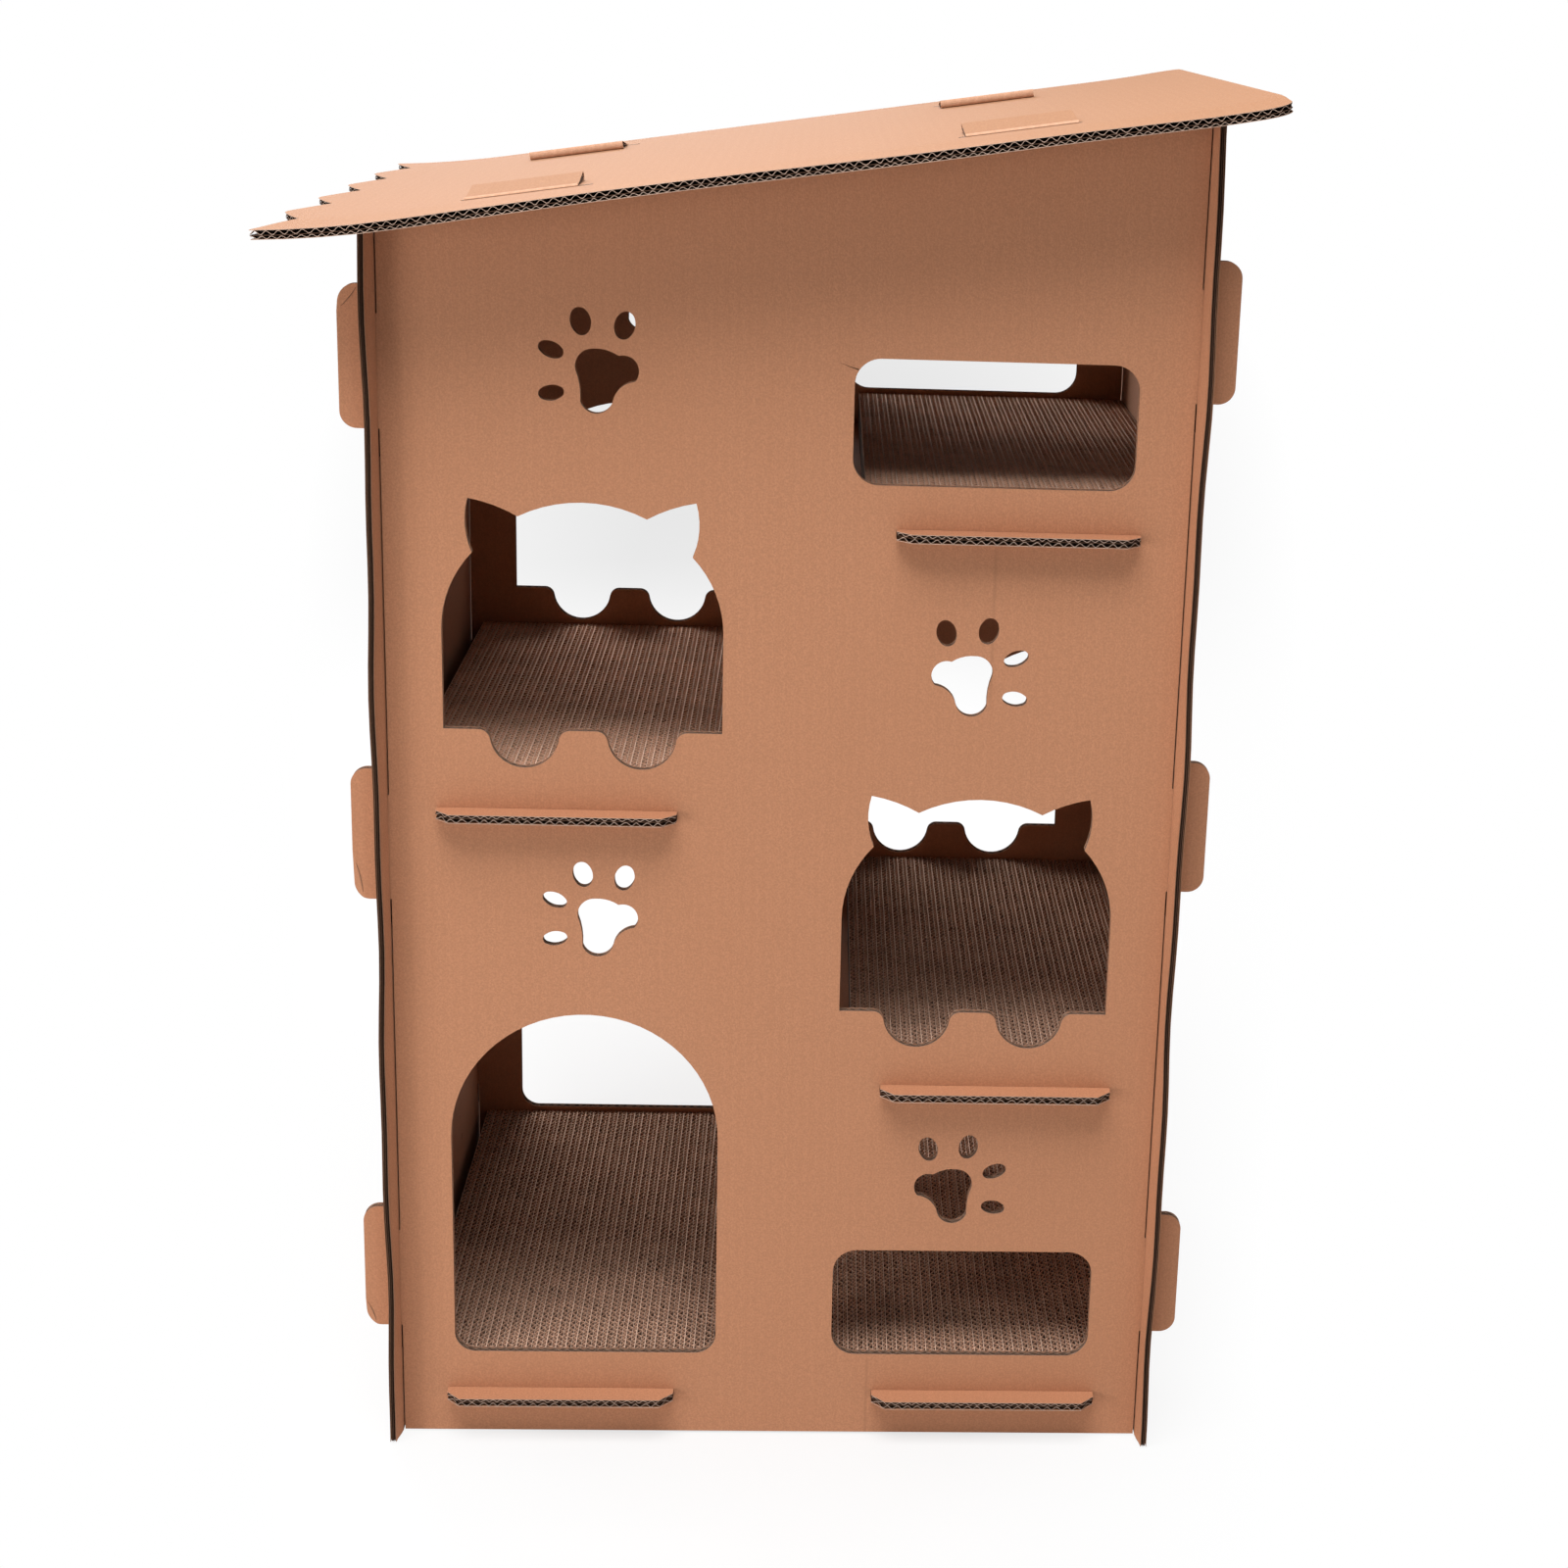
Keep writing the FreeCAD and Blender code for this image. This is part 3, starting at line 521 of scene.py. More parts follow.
board_tree, given = new_tree("double_wall_board", (
    ("Flute cells", "Object"), ("Board thickness", "Float"), ("Liner thickness", "Float"),
    ("Flute paper thickness", "Float"), ("Middle liner depth", "Float"),
    ("Unevenness", "Float"), ("Liner paper", "Material"), ("Flute paper", "Material"),
    ("Cut paper", "Material")))
add, calc = hands(board_tree)
CRUSHED_BY = 0.12
outline = add("GeometryNodeMergeByDistance",
              {"Geometry": given["Geometry"], "Distance": FINEST}).outputs[0]
stack = add("GeometryNodeJoinGeometry")
for depth, paper, cut in (("Liner thickness", "Liner paper", "Cut paper"),
                          ("Middle liner depth", "Flute paper", "Flute paper"),
                          ("Board thickness", "Liner paper", "Cut paper")):
    lowered = add("GeometryNodeTransform",
                  {"Geometry": outline,
                   "Translation": upright(board_tree, calc("MULTIPLY", given[depth], -1.0))})
    plate = thicken(board_tree, lowered.outputs[0], upright(board_tree, 1.0),
                    given["Liner thickness"], given[paper], given[cut])
    board_tree.links.new(plate, stack.inputs[0])
cells = add("GeometryNodeObjectInfo", {"Object": given["Flute cells"]})
joined_cells = add("GeometryNodeMergeByDistance",
                   {"Geometry": cells.outputs["Geometry"], "Distance": FINEST}).outputs[0]
pitch = add("GeometryNodeInputNamedAttribute", {"Name": "pitch"}, data_type="FLOAT").outputs[0]
swing = add("GeometryNodeInputNamedAttribute", {"Name": "swing"}, data_type="FLOAT").outputs[0]
where = position(board_tree)
uneven = add("ShaderNodeTexNoise", {"W": where["X"], "Scale": 70.0, "Detail": 1.0},
             noise_dimensions="1D").outputs[0]
waves = calc("ADD", calc("DIVIDE", where["X"], pitch),
             calc("MULTIPLY", uneven, given["Unevenness"]))
crushed = add("ShaderNodeTexNoise", {"W": where["X"], "Scale": 180.0},
              noise_dimensions="1D").outputs[0]
swing = calc("MULTIPLY", swing, calc("SUBTRACT", 1.0, calc("MULTIPLY", crushed, CRUSHED_BY)))
height = calc("MULTIPLY", swing, calc("SINE", calc("MULTIPLY", waves, math.tau)))
height = calc("SUBTRACT", height, calc("MULTIPLY", given["Flute paper thickness"], 0.5))
waved = add("GeometryNodeSetPosition",
            {"Geometry": joined_cells, "Offset": upright(board_tree, height)})
flutes = thicken(board_tree, waved.outputs[0], upright(board_tree, 1.0),
                 given["Flute paper thickness"], given["Flute paper"], given["Cut paper"])
board_tree.links.new(flutes, stack.inputs[0])
whole = add("GeometryNodeRealizeInstances", {"Geometry": stack.outputs[0]})
add("NodeGroupOutput", {"Geometry": whole.outputs[0]})
print(board_tree.name, len(board_tree.nodes), "nodes")

# %% [markdown]
# A modifier holds the tree while the board is worked out. Its inputs are set by their
# identifiers, then the evaluated result is kept as a plain mesh and its points are laid
# back on the real board.

# %% From a flat blank to a standing board
def run_tree(name, start, tree, values):
    """The mesh that a Geometry Nodes tree makes from a starting mesh."""
    carrier = bpy.data.objects.new(f"{name}_carrier", start)
    bpy.context.collection.objects.link(carrier)
    modifier = carrier.modifiers.new(name, "NODES")
    modifier.node_group = tree
    keys = {item.name: item.identifier for item in tree.interface.items_tree
            if item.in_out == "INPUT"}
    for title, value in values.items():
        modifier[keys[title]] = value
    bpy.context.view_layer.update()
    graph = bpy.context.evaluated_depsgraph_get()
    mesh = bpy.data.meshes.new_from_object(carrier.evaluated_get(graph), depsgraph=graph)
    carrier.modifiers.clear()
    bpy.data.objects.remove(carrier)
    for index in reversed(range(len(mesh.materials))):
        if mesh.materials[index] is None:
            mesh.materials.pop(index=index)
    mesh.name = name
    return mesh


def keep(name, mesh, body, replaced):
    """A finished piece: it rides on its body and stands for its CAD node."""
    piece = bpy.data.objects.new(name, mesh)
    bpy.context.collection.objects.link(piece)
    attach(piece, body)
    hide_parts(replaced)
    triangles = sum(len(face.vertices) - 2 for face in mesh.polygons)
    print(f"{name}: {triangles} triangles, materials {[m.name for m in mesh.materials]}")
    return piece


UNEVENNESS = 0.45


def board_mesh(blank, paper, cut, core=core_paper):
    """Double-wall board for a flat blank: its liners, its cut edges and its flutes."""
    sheet = bpy.data.meshes.new(f"{blank.name}_sheet")
    sheet.from_pydata(blank.points, [], blank.faces)
    for used in (paper, core, cut):
        sheet.materials.append(used)
    cells = flute_cells(blank)
    clear = BOARD - LINER * 3
    mesh = run_tree(f"{blank.name}_board", sheet, board_tree, {
        "Flute cells": cells, "Board thickness": BOARD, "Liner thickness": LINER,
        "Flute paper thickness": MEDIUM,
        "Middle liner depth": LINER * 2 + clear * ROWS[0][0],
        "Unevenness": UNEVENNESS, "Liner paper": paper, "Flute paper": core, "Cut paper": cut})
    bpy.data.objects.remove(cells)
    return mesh


def lay(mesh, placed):
    """Moves every point of a flat mesh to its place on the real board."""
    for vertex in mesh.vertices:
        vertex.co = placed(*vertex.co)
    mesh.update()


bpy.data.objects.remove(test_cells)
print("helpers ready")

# %% [markdown]
# ## Wear
#
# Board that has been folded, packed and put together is never quite flat. The free
# edges of the side panels are a little crushed and wavy, three hooks have a bent corner,
# and the roof's front edge droops. A sheet of few large faces can't bend, so each
# place is first scored with extra edges, and then its points are moved.

# %% Wear
def softly(value, start, end):
    """0 before start, 1 after end, and a smooth change between."""
    share = min(1, max(0, (value - start) / (end - start)))
    return share * share * (3 - 2 * share)


def score(shape, chosen, axis, places):
    """Cuts straight edges into the chosen faces, at places along one axis."""
    faces = [face for face in shape.faces if chosen(face)]
    geometry = list({item for face in faces for item in (face, *face.edges, *face.verts)})
    for place in places:
        geometry = bmesh.ops.bisect_plane(shape, geom=geometry, plane_co=Vector(axis) * place,
                                          plane_no=axis, dist=FINEST / 10)["geom"]


def bend(mesh, scores, moved):
    """Scores a board where it bends, then moves its points."""
    shape = bmesh.new()
    shape.from_mesh(mesh)
    for chosen, axis, places in scores:
        score(shape, chosen, axis, places)
    for vertex in shape.verts:
        vertex.co = moved(vertex.co)
    shape.to_mesh(mesh)
    shape.free()
    mesh.update()


FRONT_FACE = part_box("front_panel")[0].y
BACK_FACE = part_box("back_panel")[1].y
SIDE_REACH = FRONT_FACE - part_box("left_side_panel")[0].y
EDGE_CRUSH = 0.3
EDGE_LEAN = 0.9 * MM
LONG_WAVE, SHORT_WAVE = 0.9 * MM, 0.5 * MM
LONG_TURN, SHORT_TURN = 20, 47
SCORES_OUT = (0.02, 0.35, 0.7)
FIRST_SCORE, SCORE_STEP = 20 * MM, 24 * MM
CLEAR_OF_WALL = 1.5 * MM


def past_wall(y):
    """How far a point of a side panel is on its way out to the free edge: 0 to 1."""
    return (softly(FRONT_FACE - y, CLEAR_OF_WALL, SIDE_REACH)
            + softly(y - BACK_FACE, CLEAR_OF_WALL, SIDE_REACH))


def wear_side(mesh, outer, phase):
    """Crushes and waves the two upright free edges of a side panel."""
    outward = math.copysign(1, outer)

    def moved(point):
        free = past_wall(point.y)
        if not free:
            return point
        wave = (LONG_WAVE * math.sin(point.z * LONG_TURN + phase)
                + SHORT_WAVE * math.sin(point.z * SHORT_TURN + phase * 2) + EDGE_LEAN) * free
        crushed = outer + (point.x - outer) * (1 - EDGE_CRUSH * free)
        return Vector((crushed + outward * wave, point.y, point.z))

    def at_edge(face):
        return any(past_wall(vertex.co.y) > 0 for vertex in face.verts)

    def outside(face):
        return all(past_wall(vertex.co.y) > 0 for vertex in face.verts)

    ways_out = [CLEAR_OF_WALL + (SIDE_REACH - CLEAR_OF_WALL) * share for share in SCORES_OUT]
    lines = [FRONT_FACE - way for way in ways_out] + [BACK_FACE + way for way in ways_out]
    top = max(vertex.co.z for vertex in mesh.vertices)
    heights = np.arange(FIRST_SCORE, top, SCORE_STEP)
    bend(mesh, ((at_edge, (0, 1, 0), lines), (outside, (0, 0, 1), heights)), moved)


CORNER_REACH = 30 * MM
CORNER_LEAN = math.radians(24)


def bent_corner(mesh, first, second):
    """Bends back what lies outside a line between two places (x, z) of a wall's edge."""
    a, b = (Vector((x * MM, 0, z * MM)) for x, z in (first, second))
    beyond = (b - a).cross(Vector((0, 1, 0))).normalized()
    if beyond.x > 0:
        beyond.negate()

    def distance(point):
        near = (Vector((point.x, 0, point.z)) - (a + b) / 2).length < CORNER_REACH
        return max(0, (point - a).dot(beyond)) if near else 0

    shape = bmesh.new()
    shape.from_mesh(mesh)
    faces = [face for face in shape.faces if any(distance(vertex.co) > 0 for vertex in face.verts)]
    geometry = list({item for face in faces for item in (face, *face.edges, *face.verts)})
    bmesh.ops.bisect_plane(shape, geom=geometry, plane_co=a, plane_no=beyond, dist=FINEST / 10)
    for vertex in shape.verts:
        away = distance(vertex.co)
        vertex.co += beyond * (away * (math.cos(CORNER_LEAN) - 1))
        vertex.co.y += away * math.sin(CORNER_LEAN)
    shape.to_mesh(mesh)
    shape.free()


BENT_HOOKS = (((-297.4, 885.6), (-311.8, 868)), ((-311.2, 469.3), (-305.5, 440)),
              ((-312.3, 112), (-304.6, 92)))
print("free edge", round(SIDE_REACH / MM, 1), "mm wide,", len(BENT_HOOKS), "bent hooks")

# %% [markdown]
# ## Walls, side panels and floors
#
# The flutes of the walls and side panels stand upright, which makes them stiff under a
# cat's weight, so their zigzag shows at sills and hook ends. In the floors they run from
# front to back, and the zigzag shows on the tabs that come out through the front wall.

# %% Walls, side panels and floors
LAYOUT = (
    ("front_panel", (0, 0, 1), (0, -1, 0), front_paper, front_cut),
    ("back_panel", (0, 0, 1), (0, 1, 0), wall_paper, brown_cut),
    ("left_side_panel", (0, 0, 1), (-1, 0, 0), side_paper, brown_cut),
    ("right_side_panel", (0, 0, 1), (1, 0, 0), side_paper, brown_cut),
    ("ground_floor", (0, 1, 0), (0, 0, -1), floor_paper, pale_cut),
    ("right_middle_platform", (0, 1, 0), (0, 0, -1), floor_paper, pale_cut),
    ("left_upper_platform", (0, 1, 0), (0, 0, -1), floor_paper, pale_cut),
    ("right_top_platform", (0, 1, 0), (0, 0, -1), floor_paper, pale_cut),
)
for name, along, up, paper, cut in LAYOUT:
    blank = Blank(name, along, up)
    mesh = board_mesh(blank, paper, cut, front_core if name == "front_panel" else core_paper)
    lay(mesh, blank.place)
    if "side" in name:
        wear_side(mesh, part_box(name)[0].x if up[0] < 0 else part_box(name)[1].x, phase=len(name))
    if name == "front_panel":
        for first, second in BENT_HOOKS:
            bent_corner(mesh, first, second)
    keep(f"{name}_board", mesh, "root", name)

# %% [markdown]
# Three small signs of use: a tear that runs from the corner of the upper right window,
# whose dark gap is painted shade; dark lines of painted shade along the folds of the bent
# hooks; and scraps of torn paper on the inside of the left panel, in the ground bay. Each
# is a thin plate with a given outline.

# %% Tear, folds and torn scraps
def closed_mesh(name, points, faces, paper):
    """A closed shell, with its faces turned outwards."""
    mesh = bpy.data.meshes.new(name)
    mesh.from_pydata(points, [], faces)
    shape = bmesh.new()
    shape.from_mesh(mesh)
    bmesh.ops.recalc_face_normals(shape, faces=shape.faces)
    shape.to_mesh(mesh)
    shape.free()
    mesh.materials.append(paper)
    return mesh


def flat_scrap(name, outline, place, thickness, paper):
    """A thin closed plate from a flat outline: place lays each point, low side and high side."""
    count = len(outline)
    points = [place(a, b, side) for side in (0, thickness) for a, b in outline]
    faces = [tuple(range(count))[::-1], tuple(range(count, 2 * count))]
    faces += [(i, (i + 1) % count, count + (i + 1) % count, count + i) for i in range(count)]
    return closed_mesh(name, points, faces, paper)


def add_piece(name, mesh):
    """A small new piece, which rides on the standing house."""
    piece = bpy.data.objects.new(name, mesh)
    bpy.context.collection.objects.link(piece)
    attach(piece, "root")
    return piece


def on_front(x, z, out):
    """A place just in front of the front wall."""
    return (x, FRONT_FACE - out, z)


# Each point of the tear is x, z and how far it gapes, in millimetres.
TEAR = ((34.0, 841.2, 0.0), (37.5, 839.9, 0.3), (41.6, 838.3, 0.5), (45.7, 837.1, 0.8),
        (47.4, 836.6, 1.0))
tear_line = [(x * MM, (z + gape / 2) * MM) for x, z, gape in TEAR]
tear_line += [(x * MM, (z - gape / 2) * MM) for x, z, gape in TEAR[:0:-1]]
# Painted shade: the tear's gap is a thin dark sliver of core paper on the wall's face.
add_piece("window_tear", flat_scrap("window_tear", tear_line, on_front, 0.12 * MM, core_paper))

# Painted shade: a thin dark plate lies along the fold of each bent hook.
FOLD_BOW, FOLD_WIDTH, FOLD_POINTS = 1.2, 0.8, 7
for order, ((x0, z0), (x1, z1)) in enumerate(BENT_HOOKS):
    curve = [(x0 + (x1 - x0) * t + FOLD_BOW * math.sin(math.pi * t), z0 + (z1 - z0) * t,
              FOLD_WIDTH * math.sin(math.pi * t)) for t in np.linspace(0.12, 0.88, FOLD_POINTS)]
    fold = [((x + wide / 2) * MM, z * MM) for x, z, wide in curve]
    fold += [((x - wide / 2) * MM, z * MM) for x, z, wide in curve[::-1]]
    title = f"hook_fold_{order}"
    add_piece(title, flat_scrap(title, fold, on_front, 0.15 * MM, brown_cut))

# Each scrap is y, z and its reach, in millimetres.
SCRAPS = ((409, 105, 5), (402, 96, 3), (404, 88, 4), (400, 82, 3), (325, 113, 3), (338, 88, 4),
          (308, 78, 3), (301, 72, 2))
SCRAP_CORNERS, SCRAP_SQUEEZE = 7, 0.35
INNER_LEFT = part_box("left_side_panel")[1].x
scrap_random = np.random.default_rng(4)
for order, (y, z, size) in enumerate(SCRAPS):
    turns = np.arange(SCRAP_CORNERS) * math.tau / SCRAP_CORNERS
    reach = size * MM * scrap_random.uniform(0.25, 1.0, SCRAP_CORNERS)
    ragged = [(y * MM + r * SCRAP_SQUEEZE * math.cos(t), z * MM + r * math.sin(t))
              for r, t in zip(reach, turns)]
    title = f"torn_scrap_{order}"
    add_piece(title, flat_scrap(title, ragged, lambda a, b, out: (INNER_LEFT + out, a, b),
                                0.2 * MM, worn_paper))
print(1 + len(BENT_HOOKS) + len(SCRAPS), "small marks of use")

# %% [markdown]
# Where a tab is pushed through its slot, the wall's liner is pressed round it and nearly
# closes the gap. Each slot is found in the wall's own outline, round the points of the
# floor that stand out of the wall, and a thin frame of liner fills what is left open.

# %% Pressed slot edges
PRESSED_IN = 0.4 * MM
LEFT_OPEN = 0.15 * MM
SLOT_REACH, SLOT_MARGIN = 8 * MM, 2 * MM
FLOORS = ("ground_floor", "right_middle_platform", "left_upper_platform", "right_top_platform")


def grouped(values, gap):
    """Runs of neighbouring values, each as its first and last."""
    runs = []
    for value in sorted(values):
        if not runs or value - runs[-1][1] > gap:
            runs.append([value, value])
        runs[-1][1] = value
    return runs


def slot_edges(wall, face, side, floor_name):
    """Frames of liner round each of one floor's tabs, where it comes through a wall."""
    blank = Blank(wall, (0, 0, 1), (0, side, 0))
    rim = blank.rim.reshape(-1, 2) * (blank.across.x, 1)
    low, high = (corner.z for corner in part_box(floor_name))
    tabs = [v.co.x for v in nodes_of_frame[floor_name].data.vertices
            if (v.co.y - face) * side > FINEST]
    corners = grouped(tabs, SLOT_REACH * 3)
    for number, ((left, _), (_, right)) in enumerate(zip(corners[::2], corners[1::2])):
        cut = rim[(rim[:, 0] > left - SLOT_REACH) & (rim[:, 0] < right + SLOT_REACH)
                  & (rim[:, 1] > low - SLOT_MARGIN) & (rim[:, 1] < high + SLOT_MARGIN)]
        (first, bottom), (second, top) = cut.min(axis=0), cut.max(axis=0)
        left, right, lid = left - LEFT_OPEN, right + LEFT_OPEN, high + LEFT_OPEN
        line = [(first, bottom), (left, bottom), (left, lid), (right, lid), (right, bottom),
                (second, bottom), (second, top), (first, top)]
        title = f"{wall}_{floor_name}_slot_{number}"
        piece = add_piece(title, flat_scrap(
            title, line, lambda x, z, out: (x, face - side * (PRESSED_IN - out), z),
            PRESSED_IN, wall_paper))
        print(piece.name, [round(size / MM, 1) for size in piece.dimensions])


for wall, face, side in (("front_panel", FRONT_FACE, -1), ("back_panel", BACK_FACE, 1)):
    for floor_name in FLOORS:
        slot_edges(wall, face, side, floor_name)

# %% [markdown]
# ## Roof
#
# The roof is one board with a zigzag cut at its low end. It leans, and both ends droop a
# little, so its blank is read square to the slope and bent back over the same curve.

# %% Roof
left_flap, right_flap = (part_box(f"front_{side}_roof_flap")[1] for side in ("left", "right"))
slope = math.atan2(right_flap.z - left_flap.z, right_flap.x - left_flap.x)
SLOPE_UP = Vector((-math.sin(slope), 0, math.cos(slope)))
roof_blank = Blank("roof_panel", (0, 1, 0), SLOPE_UP)
roof_mesh = board_mesh(roof_blank, roof_paper, pale_cut)
lay(roof_mesh, roof_blank.place)
ROOF_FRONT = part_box("roof_panel")[0].y
DROOP, DROOP_START, DROOP_END = 3.2 * MM, 0.15, 0.33
RIPPLE, RIPPLE_TURN = 0.9 * MM, 15
STIFF_EDGE = 12 * MM
BROAD_FACE = 15 * MM


def drooped(point):
    """The overhang in front of the wall sags, most of all at the roof's high corner."""
    out = softly(-point.y, -FRONT_FACE + STIFF_EDGE, -ROOF_FRONT)
    down = (DROOP * softly(point.x, DROOP_START, DROOP_END)
            + RIPPLE * (1 + math.sin(point.x * RIPPLE_TURN)))
    return point - Vector((0, 0, down * out))


def over_the_edge(face):
    return any(vertex.co.y < FRONT_FACE - STIFF_EDGE for vertex in face.verts)


def broad(face):
    across = [vertex.co.x for vertex in face.verts]
    return over_the_edge(face) and max(across) - min(across) > BROAD_FACE


front_scores = [-16 * MM * count for count in range(1, 5)]
cross_scores = np.arange(-340 * MM, 330 * MM, 30 * MM)
bend(roof_mesh, ((over_the_edge, (0, 1, 0), front_scores), (broad, (1, 0, 0), cross_scores)), drooped)
keep("roof_panel_board", roof_mesh, "root", "roof_panel")
print("roof slope", round(math.degrees(slope), 2), "degrees")

# %% [markdown]
# ## Folded flaps
#
# The ends of the wall tabs are folded over the roof. Folding crushes the flutes at the
# crease, so each flap is a wedge: thin at the crease and full board at its free end,
# where the top liner rolls over the edge. The flat blank is squeezed into that wedge.
# A rolled crease covers the wall tab's end.

# %% Folded flaps
CREASE_THICKNESS = 0.8 * MM
NOSE = 2.2 * MM
NOSE_STEPS = 8
CREASE_REACH = 6.6 * MM
CREASE_RISE = 1.5 * MM


def rolled_liner(low_u, high_u, start):
    """The liner rolled over the flap's free end, as a closed half-round strip."""
    outer, inner = [], []
    for step in range(NOSE_STEPS + 1):
        angle = math.pi / 2 - math.pi * step / NOSE_STEPS
        for ring, shrink in ((outer, 0), (inner, LINER)):
            ring.append((start + (NOSE - shrink) * math.cos(angle),
                         -BOARD / 2 + (BOARD / 2 - shrink) * math.sin(angle)))
    loop = outer + inner[::-1]
    count = len(loop)
    points = [(u, v, w) for u in (low_u, high_u) for v, w in loop]
    faces = [(i, count + i, count + (i + 1) % count, (i + 1) % count) for i in range(count)]
    for i in range(NOSE_STEPS):
        ring = [i, i + 1, count - 2 - i, count - 1 - i]
        faces += [ring, [count + corner for corner in reversed(ring)]]
    mesh = bpy.data.meshes.new("rolled_liner")
    mesh.from_pydata(points, [], faces)
    return mesh


def add_mesh(mesh, extra, paper):
    """Puts a second mesh into the first one, in one of its papers."""
    both = bmesh.new()
    both.from_mesh(mesh)
    own = len(both.faces)
    both.from_mesh(extra)
    both.faces.ensure_lookup_table()
    for face in both.faces[own:]:
        face.material_index = mesh.materials.find(paper.name)
    both.to_mesh(mesh)
    both.free()


def crease_ridge(blank, low_u, high_u, low_v, bottom):
    """The rolled crease over a wall tab: a closed strip with a rounded top, in paler worn paper that
    also paints the highlight along the crease.
    """
    arc = [(low_v - CREASE_REACH / 2 - CREASE_REACH / 2 * math.cos(math.pi * step / NOSE_STEPS),
            CREASE_RISE * math.sin(math.pi * step / NOSE_STEPS)) for step in range(NOSE_STEPS + 1)]
    count = len(arc)
    points = [blank.across * u + blank.along * v + SLOPE_UP * (bottom + w)
              for u in (low_u, high_u) for v, w in arc]
    faces = [(i, (i + 1) % count, count + (i + 1) % count, count + i) for i in range(count)]
    faces += [tuple(range(count))[::-1], tuple(range(count, count * 2))]
    return closed_mesh("crease", points, faces, worn_paper)


for name in [title for title in nodes_of_frame if title.endswith("roof_flap")]:
    inward = 1 if name.startswith("front") else -1
    blank = Blank(name, (0, inward, 0), SLOPE_UP)
    (low_u, low_v), (high_u, high_v) = blank.rim.min(axis=(0, 1)), blank.rim.max(axis=(0, 1))
    fold = high_v - NOSE
    blank.points = [(u, min(v, fold), w) for u, v, w in blank.points]
    blank.rim[:, :, 1] = np.minimum(blank.rim[:, :, 1], fold)
    bottom = min(vertex.co.dot(SLOPE_UP) for vertex in nodes_of_frame[name].data.vertices)

    def wedge(u, v, w):
        """Flat points squeezed towards the crease and laid on the roof."""
        share = (v - low_v) / (high_v - low_v)
        full = CREASE_THICKNESS + (BOARD - CREASE_THICKNESS) * share
        return (blank.across * u + blank.along * v
                + SLOPE_UP * (bottom + (w / BOARD + 1) * full))

    mesh = board_mesh(blank, roof_paper, brown_cut)
    # The rolled end is in paler worn paper, which also paints the highlight along its bend.
    mesh.materials.append(worn_paper)
    add_mesh(mesh, rolled_liner(low_u, high_u, fold), worn_paper)
    lay(mesh, wedge)
    keep(f"{name}_board", mesh, name, name)
    ridge = add_piece(f"{name}_crease", crease_ridge(blank, low_u, high_u, low_v, bottom))
    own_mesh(ridge)

# %% [markdown]
# ## Scratch pads
#
# A scratch pad is a stack of narrow board strips stood on edge, so that the open flutes
# face up for the claws. From above it reads as straight liners running from front to
# back, with a tall and a short row of waves between them. A line of points holds the
# strips, a sine bends the wave sheets, and each strip starts its waves at its own place.
# The waves lean a little, because the strips were pushed along each other when glued.

# %% Strip papers
STRIP_LINER = (0.72, 0.48, 0.36)
STRIP_FLUTE = (0.80, 0.47, 0.32)
# Painted light: the pads are cut from one board, but each pad's papers are made paler or darker to
# match how much light reaches it.
PAD_TONES = {"upper_left_pad": 1.22, "ground_right_pad": 1.15, "middle_right_pad": 0.8}
strip_papers = {}
for name in [title for title in nodes_of_frame if title.endswith("_pad")]:
    tone = PAD_TONES.get(name, 1.0)
    strip_papers[name] = [flute_paper(f"{name}_{part}", tinted(colour, tone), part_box(name)[1].z)
                          for part, colour in (("liners", STRIP_LINER), ("flutes", STRIP_FLUTE))]
print("papers of the pads:", len(strip_papers), "pairs")

# %% Scratch pads with Geometry Nodes
pad_tree, given = new_tree("scratch_pad", (
    ("Strips", "Int"), ("Strip pitch", "Float"), ("Length", "Float"), ("Height", "Float"),
    ("Paper thickness", "Float"), ("Tall row height", "Float"), ("Tall pitch", "Float"),
    ("Short pitch", "Float"), ("Lean", "Float"), ("Wear", "Float"), ("Seed", "Int"),
    ("Liner paper", "Material"), ("Flute paper", "Material")))
add, calc = hands(pad_tree)
STRAIGHT_END = 3 * MM
START_SHIFT = 1.4
LINER_COLUMNS, COLUMNS_PER_WAVE = 24, 5.0


def standing_sheet(across, columns):
    """A flat sheet from front to back on every strip, at one place across the strip."""
    flat = add("GeometryNodeMeshGrid",
               {"Size X": given["Length"], "Size Y": given["Height"], "Vertices X": columns,
                "Vertices Y": 2})
    place = add("ShaderNodeCombineXYZ",
                {"X": across, "Y": calc("MULTIPLY", given["Length"], 0.5),
                 "Z": calc("MULTIPLY", given["Height"], 0.5)})
    turned = add("GeometryNodeTransform",
                 {"Geometry": flat.outputs["Mesh"], "Translation": place.outputs[0],
                  "Rotation": (math.pi / 2, 0, math.pi / 2)})
    strips = add("GeometryNodeInstanceOnPoints",
                 {"Points": strip_line.outputs[0], "Instance": turned.outputs[0]})
    return add("GeometryNodeRealizeInstances", {"Geometry": strips.outputs[0]}).outputs[0]


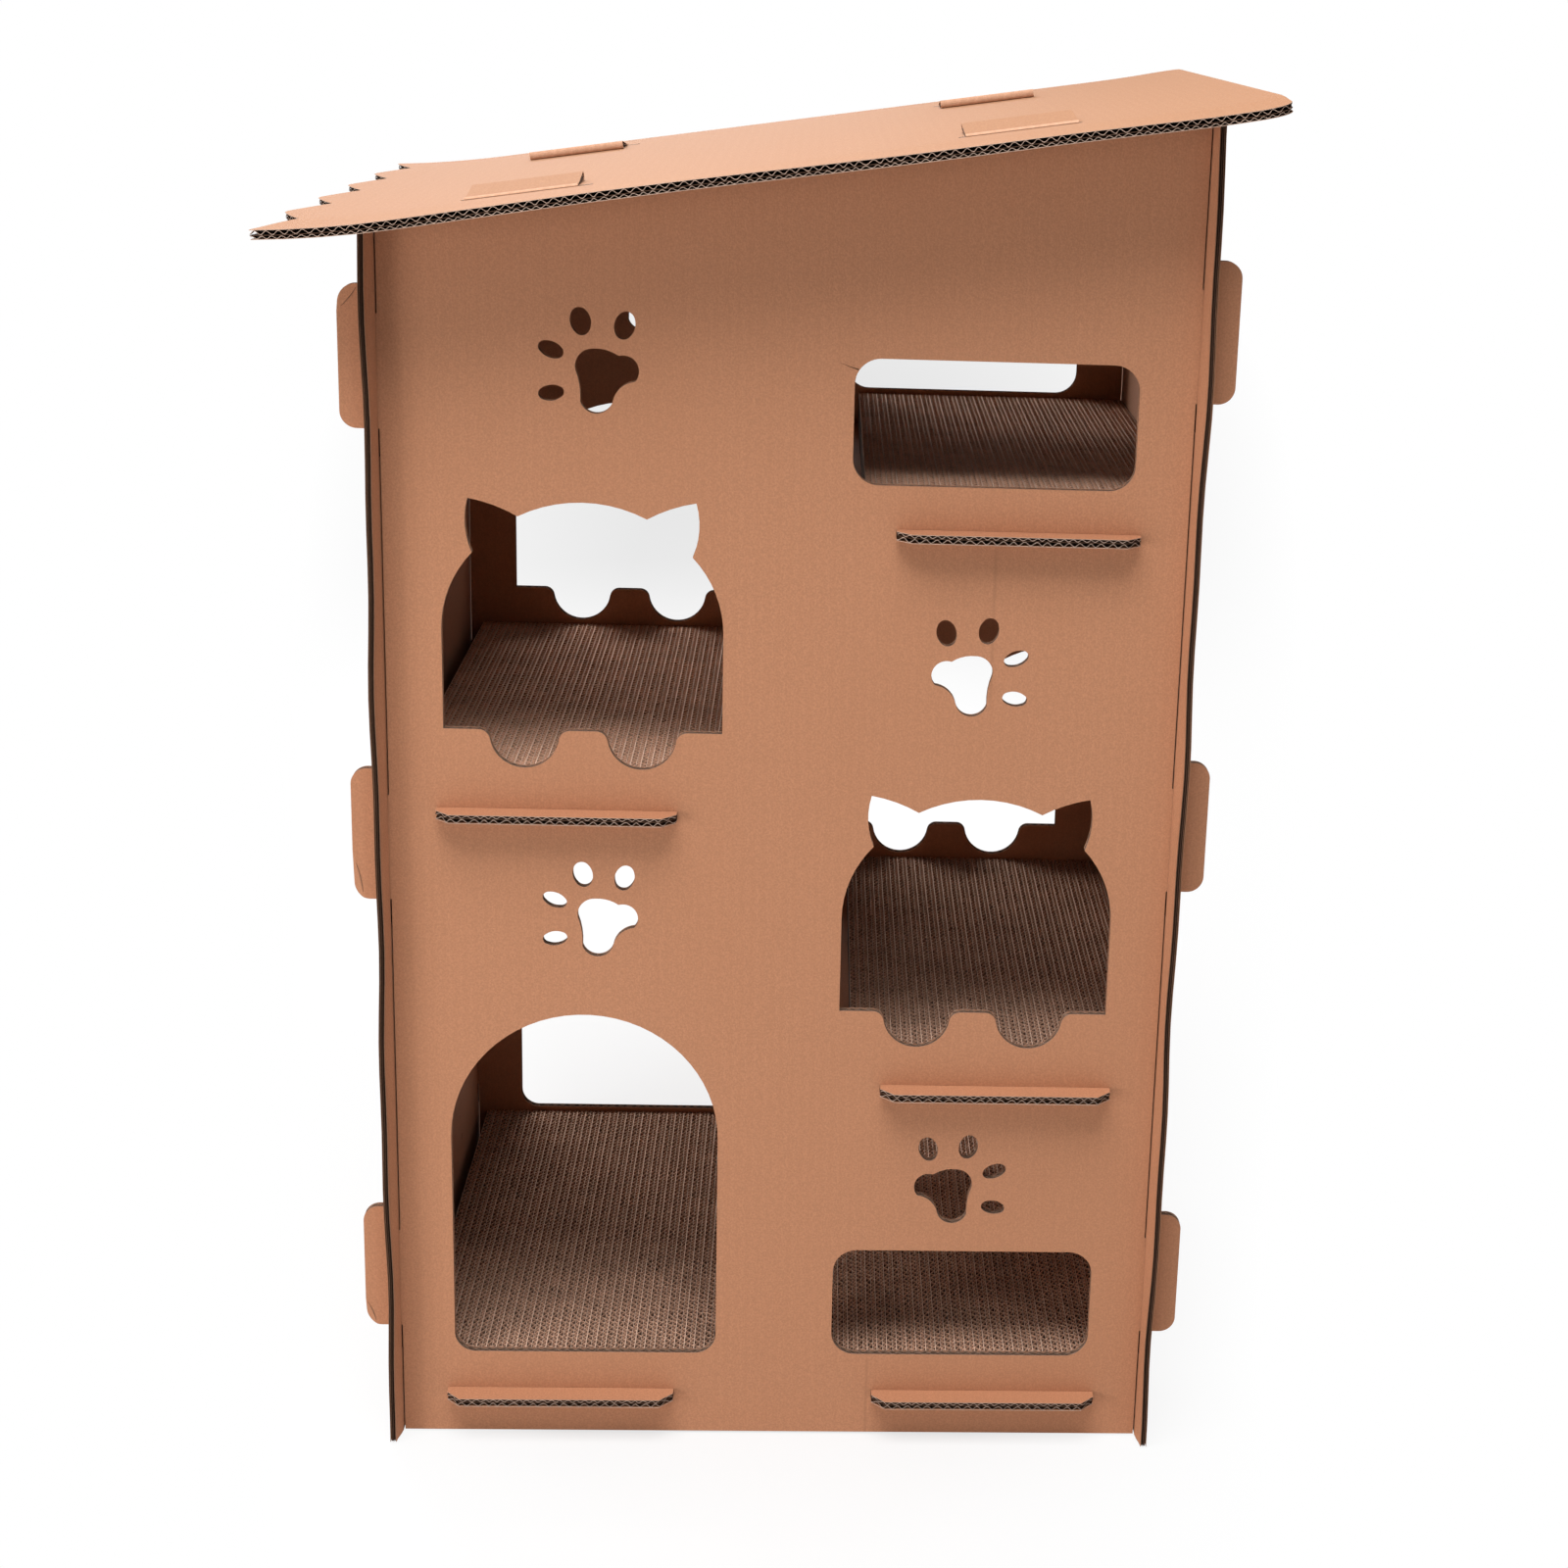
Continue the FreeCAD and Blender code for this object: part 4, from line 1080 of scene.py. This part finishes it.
def waved_sheet(sheet, swing, pitch):
    """The sheet bent into leaning waves, each strip with its own start."""
    where = position(pad_tree)
    strip = calc("FLOOR", calc("DIVIDE", where["X"], given["Strip pitch"]))
    start = add("FunctionNodeRandomValue", {"ID": strip, "Seed": given["Seed"]},
                data_type="FLOAT").outputs[1]
    along = add("ShaderNodeCombineXYZ", {"X": strip, "Y": where["Y"]}).outputs[0]
    uneven = add("ShaderNodeTexNoise", {"Vector": along, "Scale": 35.0}).outputs[0]
    turn = calc("ADD", calc("DIVIDE", where["Y"], pitch),
                calc("ADD", start, calc("MULTIPLY", uneven, START_SHIFT)))
    bend = calc("MULTIPLY", swing, calc("SINE", calc("MULTIPLY", turn, math.tau)))
    inside = calc("MULTIPLY",
                  calc("LESS_THAN", where["Y"], calc("SUBTRACT", given["Length"], STRAIGHT_END)),
                  calc("GREATER_THAN", where["Y"], STRAIGHT_END))
    slide = calc("MULTIPLY", calc("MULTIPLY", bend, given["Lean"]), inside)
    offset = add("ShaderNodeCombineXYZ", {"X": bend, "Y": slide}).outputs[0]
    return add("GeometryNodeSetPosition", {"Geometry": sheet, "Offset": offset}).outputs[0]


sideways = add("ShaderNodeCombineXYZ", {"X": 1.0}).outputs[0]
strip_line = add("GeometryNodeMeshLine",
                 {"Count": given["Strips"],
                  "Offset": add("ShaderNodeCombineXYZ", {"X": given["Strip pitch"]}).outputs[0]})
paper = given["Paper thickness"]
tall_end = calc("ADD", paper, given["Tall row height"])
last = calc("SUBTRACT", given["Strip pitch"], paper)
short_height = calc("SUBTRACT", calc("SUBTRACT", last, tall_end), paper)
pad_parts = []
for across in (0.0, tall_end, last):
    pad_parts.append(thicken(pad_tree, standing_sheet(across, LINER_COLUMNS), sideways, paper,
                             given["Liner paper"], given["Liner paper"]))
for start, row_height, pitch in (
        (paper, given["Tall row height"], given["Tall pitch"]),
        (calc("ADD", tall_end, paper), short_height, given["Short pitch"])):
    middle = calc("ADD", start, calc("MULTIPLY", calc("SUBTRACT", row_height, paper), 0.5))
    swing = calc("MULTIPLY", calc("SUBTRACT", row_height, paper), 0.5)
    columns = calc("MULTIPLY", calc("DIVIDE", given["Length"], pitch), COLUMNS_PER_WAVE)
    pad_parts.append(thicken(pad_tree, waved_sheet(standing_sheet(middle, columns), swing, pitch),
                             sideways, paper, given["Flute paper"], given["Flute paper"]))
pad_stack = add("GeometryNodeJoinGeometry")
for part in pad_parts:
    pad_tree.links.new(part, pad_stack.inputs[0])
where = position(pad_tree)
on_top = calc("GREATER_THAN", where["Z"], calc("MULTIPLY", given["Height"], 0.5))
worn = add("ShaderNodeTexNoise", {"Scale": 160.0, "Detail": 2.0}).outputs[0]
drop = calc("MULTIPLY", calc("MULTIPLY", on_top, worn), calc("MULTIPLY", given["Wear"], -1.0))
worn_top = add("GeometryNodeSetPosition",
               {"Geometry": pad_stack.outputs[0], "Offset": upright(pad_tree, drop)})
whole = add("GeometryNodeRealizeInstances", {"Geometry": worn_top.outputs[0]})
add("NodeGroupOutput", {"Geometry": whole.outputs[0]})
print(pad_tree.name, len(pad_tree.nodes), "nodes")

# %% [markdown]
# Every pad takes its place and size from its CAD block, and its own seed.

# %% Five pads
STRIP_PITCH = 7.67 * MM
for seed, (name, (liners, flutes)) in enumerate(strip_papers.items()):
    low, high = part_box(name)
    size = high - low
    strips = round(size.x / STRIP_PITCH)
    empty = bpy.data.meshes.new(f"{name}_start")
    empty.materials.append(liners)
    mesh = run_tree(f"{name}_strips", empty, pad_tree, {
        "Strips": strips, "Strip pitch": size.x / strips, "Length": size.y,
        "Height": size.z, "Paper thickness": 0.4 * MM, "Tall row height": 3.7 * MM,
        "Tall pitch": 7.4 * MM, "Short pitch": 5.4 * MM, "Lean": 0.45, "Wear": 0.9 * MM,
        "Seed": seed, "Liner paper": liners, "Flute paper": flutes})
    mesh.transform(Matrix.Translation(low))
    keep(f"{name}_strips", mesh, name, name)
